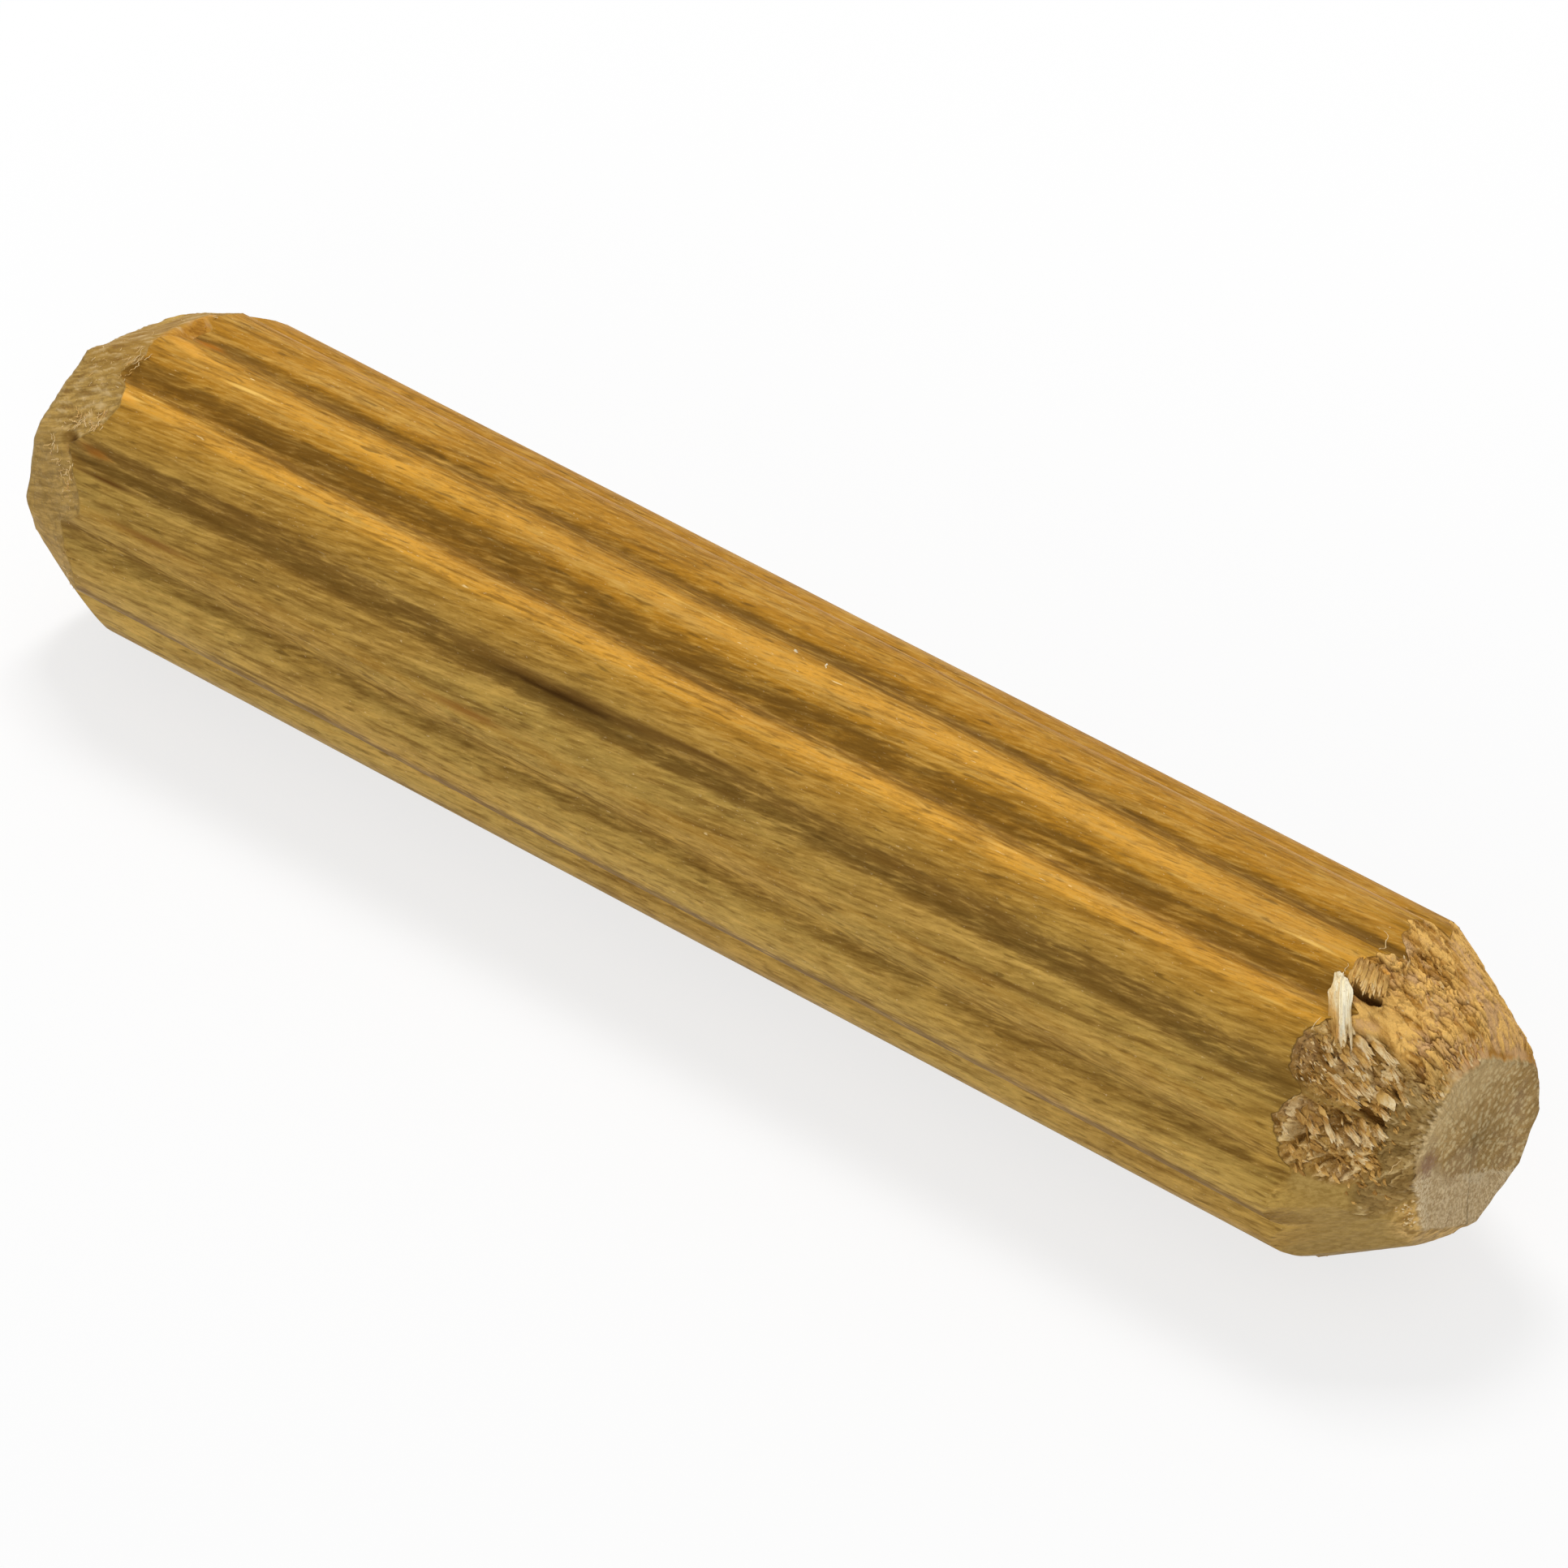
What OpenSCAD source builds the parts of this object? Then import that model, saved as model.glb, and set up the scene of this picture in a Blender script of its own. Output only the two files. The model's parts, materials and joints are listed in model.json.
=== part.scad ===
// Fluted wooden dowel pin, made as one piece and lying along X.
// The origin is at the middle of the pin, on its axis, with +Z up.
// One flute points straight down, so the pin rests on the two lands beside it.
// A side of the pin is an angle from +Z towards +Y, in degrees.

/* [Shank] */
// Diameter over the lands that are left between the flutes
pin_d = 8; // [6:0.5:12]
// Length over the two sawn ends
pin_len = 40; // [25:1:60]

/* [Flutes] */
// Number of straight flutes round the shank
flute_count = 12; // [6:1:12]
// Depth of a flute below the lands
flute_depth = 0.28; // [0.2:0.01:0.36]
// Angle between the two flanks of a flute, in degrees
flute_angle = 110; // [90:1:120]
// Radius at the root of a flute
root_r = 0.1; // [0.04:0.01:0.16]
// Radius on the shoulder between a flute and a land
shoulder_r = 0.15; // [0.06:0.01:0.24]

/* [Right end] */
// Length of the right chamfer along the pin, from the sawn face to the lands
right_chamfer_len = 3; // [2:0.1:3.8]
// Angle between the right chamfer and the pin's axis, in degrees
right_chamfer_angle = 30; // [15:1:33]
// Length of the broken edge round the right face
right_edge_len = 0.35; // [0.1:0.05:0.6]
// Width of the broken edge round the right face
right_edge_w = 0.4; // [0.1:0.05:0.5]
// How far the right cutter was held off the pin's axis, in degrees
right_lean = 3.5; // [0:0.5:6]
// Side of the pin on which the right chamfer is shortest
right_lean_side = -65; // [-180:5:180]

/* [Left end] */
// Length of the left chamfer along the pin, from the sawn face to the lands
left_chamfer_len = 2.7; // [2:0.1:3.8]
// Angle between the left chamfer and the pin's axis, in degrees
left_chamfer_angle = 24; // [15:1:33]
// Length of the broken edge round the left face
left_edge_len = 0.15; // [0.1:0.05:0.6]
// Width of the broken edge round the left face
left_edge_w = 0.15; // [0.1:0.05:0.5]
// How far the left cutter was held off the pin's axis, in degrees
left_lean = 2.5; // [0:0.5:6]
// Side of the pin on which the left chamfer is shortest
left_lean_side = -65; // [-180:5:180]

/* [Torn grain] */
// Deepest tear in the right chamfer
tear_depth = 0.32; // [0.1:0.02:0.4]
// Length of the longest tear, along the chamfer
tear_len = 1.3; // [0.6:0.1:1.6]

/* [Hidden] */

land_r = pin_d / 2;
pitch = 360 / flute_count;
// Facets of the land circle
land_facets = 180;
// Facets round each chamfer
chamfer_facets = 120;
// Steps along each small radius
arc_steps = 5;
// How far the cutters reach past the wood
over = 1;

// Tears in the right chamfer: side of the pin, place along the chamfer from 0 at the lands
// to 1 at the face, width, and share of the longest tear's length and of the deepest one's depth
tears = [
    [-22, 0.20, 0.75, 0.55, 1.00],
    [-49, 0.34, 0.60, 0.80, 0.65],
    [-66, 0.48, 0.45, 1.00, 0.85],
    [-80, 0.26, 0.95, 0.70, 0.60]
];

// A flute's outline, with x outwards from the pin's axis and y across the flute.
// A root arc, a straight flank and a shoulder arc follow each other tangentially.
flank = flute_angle / 2;
root_x = land_r - flute_depth + root_r;
apex_x = root_x - root_r / sin(flank);
shoulder_x = land_r - shoulder_r;
shoulder_at = flank + asin((shoulder_r - apex_x * sin(flank)) / shoulder_x);

// Points on an arc about a centre, from one direction to another
function arc(cx, cy, r, from, to) = [
    for (i = [0:arc_steps])
        let (a = from + (to - from) * i / arc_steps)
            [cx + r * cos(a), cy + r * sin(a)]
];

// The same points on the other side of the flute, in the opposite order
function mirrored(points) = [
    for (i = [len(points) - 1:-1:0]) [points[i].x, -points[i].y]
];

function flute_side() = concat(
    arc(root_x, 0, root_r, 180, 90 + flank),
    arc(shoulder_x * cos(shoulder_at), shoulder_x * sin(shoulder_at), shoulder_r, flank - 90, shoulder_at),
    [[(land_r + over) * cos(shoulder_at), (land_r + over) * sin(shoulder_at)]]
);

// Section of the shank: a round bar less its flutes
module shank_section() {
    difference() {
        circle(r = land_r, $fn = land_facets);
        for (i = [0:flute_count - 1])
            rotate(i * pitch)
                polygon(concat(flute_side(), mirrored(flute_side())));
    }
}

// The bar along X, with its first flute underneath
module fluted_bar() {
    rotate([0, 90, 0])
        linear_extrude(height = pin_len, center = true)
            shank_section();
}

// An end of the pin, with its sawn face at the origin, the wood below it along -Z,
// and the pin's up side towards +X
module at_left_end() {
    translate([-pin_len / 2, 0, 0])
        rotate([0, -90, 0])
            children();
}

module at_right_end() {
    mirror([1, 0, 0])
        at_left_end()
            children();
}

// Tips what it holds about the middle of the sawn face, towards one side of the pin
module leaning(lean, side) {
    rotate(side)
        rotate([0, -lean, 0])
            rotate(-side)
                children();
}

// What a hollow cutter takes off round an end: the chamfer, then the broken edge of the face.
// The slope of the broken edge runs on to a point above the face, so a leaning cut stays clean.
module chamfer_waste(chamfer_len, chamfer_angle, edge_len, edge_w) {
    edge_r = land_r - (chamfer_len - edge_len) * tan(chamfer_angle);
    point_z = (edge_r - edge_w) * edge_len / edge_w;
    mouth_z = -chamfer_len - over / tan(chamfer_angle);
    rotate_extrude($fn = chamfer_facets)
        polygon([
            [0, point_z],
            [edge_r, -edge_len],
            [land_r + over, mouth_z],
            [land_r + 2 * over, mouth_z],
            [land_r + 2 * over, point_z + over],
            [0, point_z + over]
        ]);
}

// A wedge torn out of the right chamfer: steep where the fibres broke off, near the lands,
// and running out towards the face. Its outline has x along the chamfer and y into the wood.
module tear(side, along, width, length_share, depth_share) {
    slant = (right_chamfer_len - right_edge_len) / cos(right_chamfer_angle);
    length = tear_len * length_share;
    depth = tear_depth * depth_share;
    rotate(side)
        translate([land_r, 0, -right_chamfer_len])
            rotate([0, -90 - right_chamfer_angle, 0])
                translate([slant * along, 0, 0])
                    rotate([90, 0, 0])
                        linear_extrude(height = width, center = true)
                            polygon([
                                [-length / 2, -over],
                                [-length / 2, 0],
                                [-length / 4, depth],
                                [length / 2, 0],
                                [length / 2, -over]
                            ]);
}

module dowel_pin() {
    color("#a8823f")
        difference() {
            fluted_bar();
            at_left_end()
                leaning(left_lean, left_lean_side)
                    chamfer_waste(left_chamfer_len, left_chamfer_angle, left_edge_len, left_edge_w);
            at_right_end()
                leaning(right_lean, right_lean_side) {
                    chamfer_waste(right_chamfer_len, right_chamfer_angle, right_edge_len, right_edge_w);
                    for (t = tears)
                        tear(t[0], t[1], t[2], t[3], t[4]);
                }
        }
}

dowel_pin();
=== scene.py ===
"""Fluted dowel pin: its wood, its torn ends and its stage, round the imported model."""

import json
import math
import random

import bmesh
import bpy
import numpy as np
from bpy.props import FloatProperty, FloatVectorProperty, IntProperty, PointerProperty
from mathutils import Matrix, Vector, noise
from mathutils.bvhtree import BVHTree


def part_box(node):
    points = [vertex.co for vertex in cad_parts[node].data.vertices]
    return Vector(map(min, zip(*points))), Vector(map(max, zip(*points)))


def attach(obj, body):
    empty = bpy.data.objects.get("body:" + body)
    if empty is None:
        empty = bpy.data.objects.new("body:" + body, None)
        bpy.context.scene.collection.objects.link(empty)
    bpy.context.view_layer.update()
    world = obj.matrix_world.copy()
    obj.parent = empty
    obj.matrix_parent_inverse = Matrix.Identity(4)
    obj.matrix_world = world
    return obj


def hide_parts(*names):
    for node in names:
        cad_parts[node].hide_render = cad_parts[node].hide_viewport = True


bl_info = {
    "name": "Fluted dowel pin",
    "version": (1, 0, 0),
    "blender": (4, 5, 0),
    "location": "3D View > Sidebar > Dowel",
    "description": "Models a fluted wooden dowel pin with torn ends, and lights it",
    "category": "Add Mesh",
}

MM = 0.001
# Vertices nearer to a place than this are at it
TOUCH = 0.01 * MM
NODE = "dowel_pin"

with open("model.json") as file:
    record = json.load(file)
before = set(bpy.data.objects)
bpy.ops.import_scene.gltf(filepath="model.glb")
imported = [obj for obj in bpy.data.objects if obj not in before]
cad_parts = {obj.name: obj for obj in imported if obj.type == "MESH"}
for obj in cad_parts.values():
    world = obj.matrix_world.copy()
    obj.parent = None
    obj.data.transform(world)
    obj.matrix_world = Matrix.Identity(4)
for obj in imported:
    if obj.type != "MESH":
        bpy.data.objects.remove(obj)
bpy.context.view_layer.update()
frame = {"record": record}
low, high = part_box(NODE)
HALF_LENGTH = high.x
FLOOR_Z = low.z
LAND_RADIUS = frame["record"]["mounts"][0]["dims"]["r_mm"] * MM
# How far the normals of a chamfer lean towards its end
CHAMFER_LEAN = math.radians(29)
# Mean radius in mm of each chamfer, the flakes and the shank, for widths measured round the pin
RIGHT_ARC, LEFT_ARC, FLAKE_ARC, SHANK_ARC = 3.3, 3.4, 3.2, 3.8
# A flat cuts the sides whose direction is nearer to its own than this, as a cosine
FLAT_REACH = 0.3
HALVINGS = 30
# The shortest chamfer, and the highest crest that stands out of one, in mm
LEAST_CHAMFER = 0.6
HIGHEST_CREST = 0.16
# No small flake reaches further out than this x, in mm
LAST_TIP = 19.93
# Width and height of a blade at its grooves, and how far its points stray along, across and up
GROOVE = 0.84, 0.70
STRAY = 0.10, 0.35, 0.6
# Edges sharper than this stay sharp on flakes and fibres
SHARP_EDGE = math.radians(70)

# Vector noise starts from the clock unless it is given a seed
noise.seed_set(1)


def length(name, description, millimetres):
    """A size of the pin, shown in Blender's own length unit."""
    return FloatProperty(
        name=name, description=description, default=millimetres * MM, unit="LENGTH", subtype="DISTANCE"
    )


def angle(name, description, degrees):
    return FloatProperty(
        name=name, description=description, default=math.radians(degrees), unit="ROTATION", subtype="ANGLE"
    )


def number(name, description, value):
    return IntProperty(name=name, description=description, default=value, min=1)


def colour(name, description, value):
    return FloatVectorProperty(
        name=name, description=description, default=value, subtype="COLOR", size=3, min=0, max=1
    )


def end_sizes(start, skew, side, edge_radius, edge_length, face_radius, rings, face_rings):
    """The sizes that each end has, with its own defaults."""
    return {
        "cut_start": length("Cut start", "Mean distance from the middle at which the chamfer starts", start),
        "cut_skew": length("Cut skew", "How much further out it starts on its shortest side", skew),
        "cut_side": angle("Cut side", "Side on which the chamfer is shortest", side),
        "edge_radius": length("Edge radius", "Radius where the chamfer meets the broken edge", edge_radius),
        "edge_length": length("Edge length", "Length of the broken edge round the face", edge_length),
        "face_radius": length("Face radius", "Radius of the sawn face", face_radius),
        "rings": number("Rings", "Rings of faces on the chamfer", rings),
        "face_rings": number("Face rings", "Rings of faces on the sawn face", face_rings),
    }


class ShankSize(bpy.types.PropertyGroup):
    land_radius: length("Land radius", "Radius over the lands between the flutes", LAND_RADIUS / MM)
    flutes: number("Flutes", "Straight flutes round the shank", 12)
    flute_depth: length("Flute depth", "Depth of a flute below the lands", 0.33)
    flute_angle: angle("Flute angle", "Angle between the two flanks of a flute", 118)
    root_radius: length("Root radius", "Radius at the bottom of a flute", 0.14)
    shoulder_radius: length("Shoulder radius", "Radius between a flute and a land", 1.0)
    wander: length("Wander", "How far the flutes wander sideways along the shank", 0.14)
    columns: number("Columns", "Columns of faces to each flute, an even number", 40)
    rings: number("Rings", "Rings of faces along the shank", 24)


class RightEndSize(bpy.types.PropertyGroup):
    __annotations__ = end_sizes(17.05, 0.55, -65, 2.52, 0.34, 2.19, 54, 10)


class LeftEndSize(bpy.types.PropertyGroup):
    __annotations__ = end_sizes(17.33, 0.40, -57, 3.02, 0.12, 2.92, 28, 6)


class WoodColours(bpy.types.PropertyGroup):
    golden: colour("Golden wood", "Warm wood on the upper side", (0.46, 0.212, 0.018))
    olive: colour("Olive wood", "Paler, greyer wood on the lower side", (0.42, 0.265, 0.060))
    dark: colour("Dark grain", "Dark streaks in the grain", (0.15, 0.068, 0.010))
    light: colour("Light grain", "Light streaks in the grain", (0.72, 0.44, 0.11))
    pale: colour("Pale fibre", "Splinters and fibres", (0.85, 0.64, 0.34))


# Shape ---------------------------------------------------------------------------------------


def deselect():
    if bpy.context.object and bpy.context.object.mode != "OBJECT":
        bpy.ops.object.mode_set(mode="OBJECT")
    bpy.ops.object.select_all(action="DESELECT")


def edit(piece, mode="VERT"):
    """Opens a piece in edit mode with all of it selected."""
    deselect()
    piece.select_set(True)
    bpy.context.view_layer.objects.active = piece
    bpy.ops.object.mode_set(mode="EDIT")
    bpy.ops.mesh.select_mode(type=mode)
    bpy.ops.mesh.select_all(action="SELECT")


def pick(piece, kind, test):
    """Selects the verts, edges or faces in edit mode that pass a test, and nothing else."""
    bpy.ops.mesh.select_all(action="DESELECT")
    bm = bmesh.from_edit_mesh(piece.data)
    for element in getattr(bm, kind):
        if test(element):
            element.select_set(True)
    bm.select_flush_mode()
    bmesh.update_edit_mesh(piece.data)


def resize(across, up, at=0.0):
    """Scales what is selected about a point on the X axis."""
    bpy.ops.transform.resize(value=(1, across, up), center_override=(at, 0, 0))


def draw_out(run):
    """Extrudes what is selected along X."""
    bpy.ops.mesh.extrude_region_move(TRANSFORM_OT_translate={"value": (run, 0, 0)})


def close_up():
    """Turns every face of the piece in edit mode outwards, and leaves edit mode."""
    bpy.ops.mesh.select_all(action="SELECT")
    bpy.ops.mesh.normals_make_consistent(inside=False)
    bpy.ops.object.mode_set(mode="OBJECT")


def make_ring(name, count, radius):
    """A ring of vertices across X, in edit mode with all of it selected."""
    deselect()
    bpy.ops.mesh.primitive_circle_add(vertices=count, radius=radius)
    ring = bpy.context.object
    ring.name = name
    edit(ring)
    bpy.ops.transform.rotate(value=math.pi / 2, orient_axis="Y", center_override=(0, 0, 0))
    return ring


def points(piece):
    values = np.empty(len(piece.data.vertices) * 3)
    piece.data.vertices.foreach_get("co", values)
    return values.reshape(-1, 3)


def set_points(piece, values):
    piece.data.vertices.foreach_set("co", values.ravel())
    piece.data.update()


def mark(piece, name, values):
    """Stores a value at each vertex, for the material to read."""
    layers = piece.data.attributes
    layer = layers[name] if name in layers else layers.new(name, "FLOAT", "POINT")
    layer.data.foreach_set("value", np.asarray(values, dtype=np.float32))


def smooth(low, high, value):
    """0 below low, 1 above high, with an easy passage between them."""
    share = np.clip((value - low) / (high - low), 0, 1)
    return share * share * (3 - 2 * share)


def window(value, low, high, soft):
    """1 between low and high, 0 outside them."""
    return smooth(low - soft, low + soft, value) * (1 - smooth(high - soft, high + soft, value))


def ripple(across, along, seed=0.0):
    """Smooth noise over a surface; across and along are already in waves."""
    return np.array([noise.noise((a, b, seed)) for a, b in zip(across, along)])


def flute_radius(offset, size):
    """Radius of the shank at an angle from a flute's middle: root, flank, shoulder, land."""
    root_r, shoulder_r = size.root_radius, size.shoulder_radius
    flank = size.flute_angle / 2
    sine, cosine = math.sin(flank), math.cos(flank)
    root_x = size.land_radius - size.flute_depth + root_r
    apex_x = root_x - root_r / sine
    shoulder_x = size.land_radius - shoulder_r
    shoulder_at = flank + math.asin((shoulder_r - apex_x * sine) / shoulder_x)
    shoulder_start = math.atan2(
        shoulder_x * math.sin(shoulder_at) - shoulder_r * cosine,
        shoulder_x * math.cos(shoulder_at) + shoulder_r * sine,
    )
    if offset < math.atan2(root_r * cosine, root_x - root_r * sine):
        return root_x * math.cos(offset) - math.sqrt(root_r**2 - (root_x * math.sin(offset)) ** 2)
    if offset < shoulder_start:
        return apex_x * sine / math.sin(flank - offset)
    if offset < shoulder_at:
        turn = shoulder_at - offset
        beyond = math.sqrt(shoulder_r**2 - (shoulder_x * math.sin(turn)) ** 2)
        return shoulder_x * math.cos(turn) + beyond
    return size.land_radius


def from_flute(side, pitch):
    """Angle between a side and the middle of the nearest flute."""
    return abs((side + pitch / 2) % pitch - pitch / 2)


def make_blank(size, right, left):
    """A fluted rod with square ends: a ring, pressed into flutes, drawn out along X and capped."""
    blank = make_ring("pin_wood", size.flutes * size.columns, size.land_radius)
    bpy.ops.transform.translate(value=(-HALF_LENGTH, 0, 0))
    pitch = 2 * math.pi / size.flutes
    column = pitch / size.columns
    for step in range(size.columns // 2 + 1):
        at = step * column
        radius = flute_radius(at, size)
        if radius == size.land_radius:
            break
        pick(
            blank,
            "verts",
            lambda v: abs(from_flute(math.atan2(v.co.y, v.co.z), pitch) - at) < 0.1 * column,
        )
        resize(radius / size.land_radius, radius / size.land_radius)

    stretches = [
        (-HALF_LENGTH, -left.cut_start, left.rings),
        (-left.cut_start, right.cut_start, size.rings),
        (right.cut_start, HALF_LENGTH, right.rings),
    ]
    bpy.ops.mesh.select_all(action="SELECT")
    for start, end, _ in stretches:
        draw_out(end - start)
    for end, rings in ((HALF_LENGTH, right.face_rings), (-HALF_LENGTH, left.face_rings)):
        pick(blank, "verts", lambda v: abs(v.co.x - end) < TOUCH)
        bpy.ops.mesh.extrude_edges_move()
        resize(1 / (rings + 1), 1 / (rings + 1))
        bpy.ops.mesh.extrude_edges_move()
        bpy.ops.mesh.merge(type="CENTER")
        stretches.append((end, end, rings - 1))

    bpy.ops.mesh.select_mode(type="EDGE")
    for start, end, rings in stretches:

        def runs_across(edge):
            first, last = sorted(vert.co.x for vert in edge.verts)
            fits = abs(first - start) < TOUCH and abs(last - end) < TOUCH
            return fits and edge.calc_length() > 0.3 * size.land_radius

        pick(blank, "edges", runs_across)
        bpy.ops.mesh.subdivide(number_cuts=rings - 1)
    close_up()
    return blank


def end_radius(size, flats, side, out):
    """Radius of an end at a side and at a distance from the pin's middle.

    The chamfer and the broken edge are cut first, and the flats cut further into them.
    """
    start = size.cut_start + size.cut_skew * np.cos(side - size.cut_side)
    edge = HALF_LENGTH - size.edge_length
    cone = size.edge_radius + (LAND_RADIUS - size.edge_radius) * (edge - out) / (edge - start)
    width = size.edge_radius - size.face_radius
    radius = np.minimum(cone, size.face_radius + width * (HALF_LENGTH - out) / size.edge_length)
    for degrees, distance, slope in flats:
        turn = np.cos(side - math.radians(degrees))
        plane = distance * MM + slope * (HALF_LENGTH - out)
        plane = plane / np.maximum(turn, FLAT_REACH)
        radius = np.where(turn > FLAT_REACH, np.minimum(radius, plane), radius)
    return radius


def where_cut(size, flats, side, radius):
    """Distance from the pin's middle at which an end's cut meets the shank, by halving."""
    near = np.full_like(side, size.cut_start - 2 * size.cut_skew)
    far = np.full_like(side, HALF_LENGTH)
    for _ in range(HALVINGS):
        middle = (near + far) / 2
        clear = end_radius(size, flats, side, middle) > radius
        near, far = np.where(clear, middle, near), np.where(clear, far, middle)
    return near


# Flats round the right face: side in degrees, distance from the axis at the face in mm, slope
RIGHT_FLATS = (
    (28, 1.864, 1.15),
    (-10, 1.957, 1.15),
    (-48, 1.874, 1.0),
    (-60, 1.879, 0.8),
    (-84, 1.95, 0.85),
    (-106, 1.885, 1.0),
    (-128, 2.12, 0.62),
    (-160, 1.95, 1.15),
    (147, 1.98, 1.15),
    (115, 2.042, 1.15),
    (84, 2.16, 1.15),
    (56, 2.15, 1.15),
)

# The same round the left face
LEFT_FLATS = (
    (6, 2.57, 0.60),
    (-39, 2.73, 0.50),
    (-83, 2.83, 0.45),
    (-126, 2.90, 0.45),
    (-168, 2.80, 0.50),
    (150, 2.85, 0.50),
    (104, 2.72, 0.50),
    (55, 2.66, 0.50),
)

# Pockets torn out of the right chamfer: x, side in degrees, half length, half width and depth in mm,
# slant in degrees
RIGHT_POCKETS = (
    (17.84, -22.2, 0.36, 0.17, 0.48, 12),
    (17.45, 0.0, 0.50, 0.20, -0.15, -53),
    (17.78, -1.0, 0.36, 0.14, -0.10, -50),
    (17.55, -10.5, 0.34, 0.22, -0.06, -50),
    (17.70, -33, 0.35, 0.35, 0.10, -30),
    (18.85, -60, 0.60, 0.13, 0.22, -24),
    (19.15, -46, 0.28, 0.11, 0.14, -35),
    (17.90, -75, 0.28, 0.24, 0.14, -40),
    (18.45, -65, 0.35, 0.14, 0.14, -35),
    (18.85, -74, 0.35, 0.12, 0.12, -50),
    (18.35, -81, 0.50, 0.16, 0.14, -45),
    (18.70, -87, 0.45, 0.18, 0.08, -20),
    (17.80, -47, 0.30, 0.16, 0.14, -35),
    (18.55, -43, 0.40, 0.10, 0.12, -30),
    (18.00, 118, 0.70, 0.30, 0.20, 15),
    (18.20, 160, 0.60, 0.26, 0.16, -10),
)


def crumple(across, along, seed):
    """Sharp crests at several sizes, from about -1 in the creases to 1 on the crests."""
    warp = 0.7 * ripple(across * 0.6, along * 0.6, seed + 50)
    total = np.zeros_like(across)
    for size, weight in ((1.0, 0.5), (2.1, 0.3), (4.3, 0.2)):
        crease = np.abs(ripple((across + warp) * size, (along + warp) * size, seed + size))
        total += weight * (1 - 3.2 * crease)
    return total


def plates(run, over, seed):
    """Cracked plates: height, rising to each one's far end, nearness of a crack, and a tone."""
    height, crack, tone = np.empty_like(run), np.empty_like(run), np.empty_like(run)
    for row, (a, b) in enumerate(zip(run, over)):
        gaps, centres = noise.voronoi((a, b, seed))
        tone[row] = (centres[0].x * 12.9898 + centres[0].y * 78.233) % 1.0
        height[row] = 0.60 * tone[row] + 0.40 * (0.5 + a - centres[0].x)
        crack[row] = gaps[1] - gaps[0]
    return np.clip(height, 0, 1), smooth(0.11, 0.0, crack), tone


def slanted(x, arc, degrees):
    """Distances along and across a grain that leans away from the pin's axis."""
    cosine, sine = np.cos(np.radians(degrees)), np.sin(np.radians(degrees))
    return x * cosine + arc * sine, arc * cosine - x * sine


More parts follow.
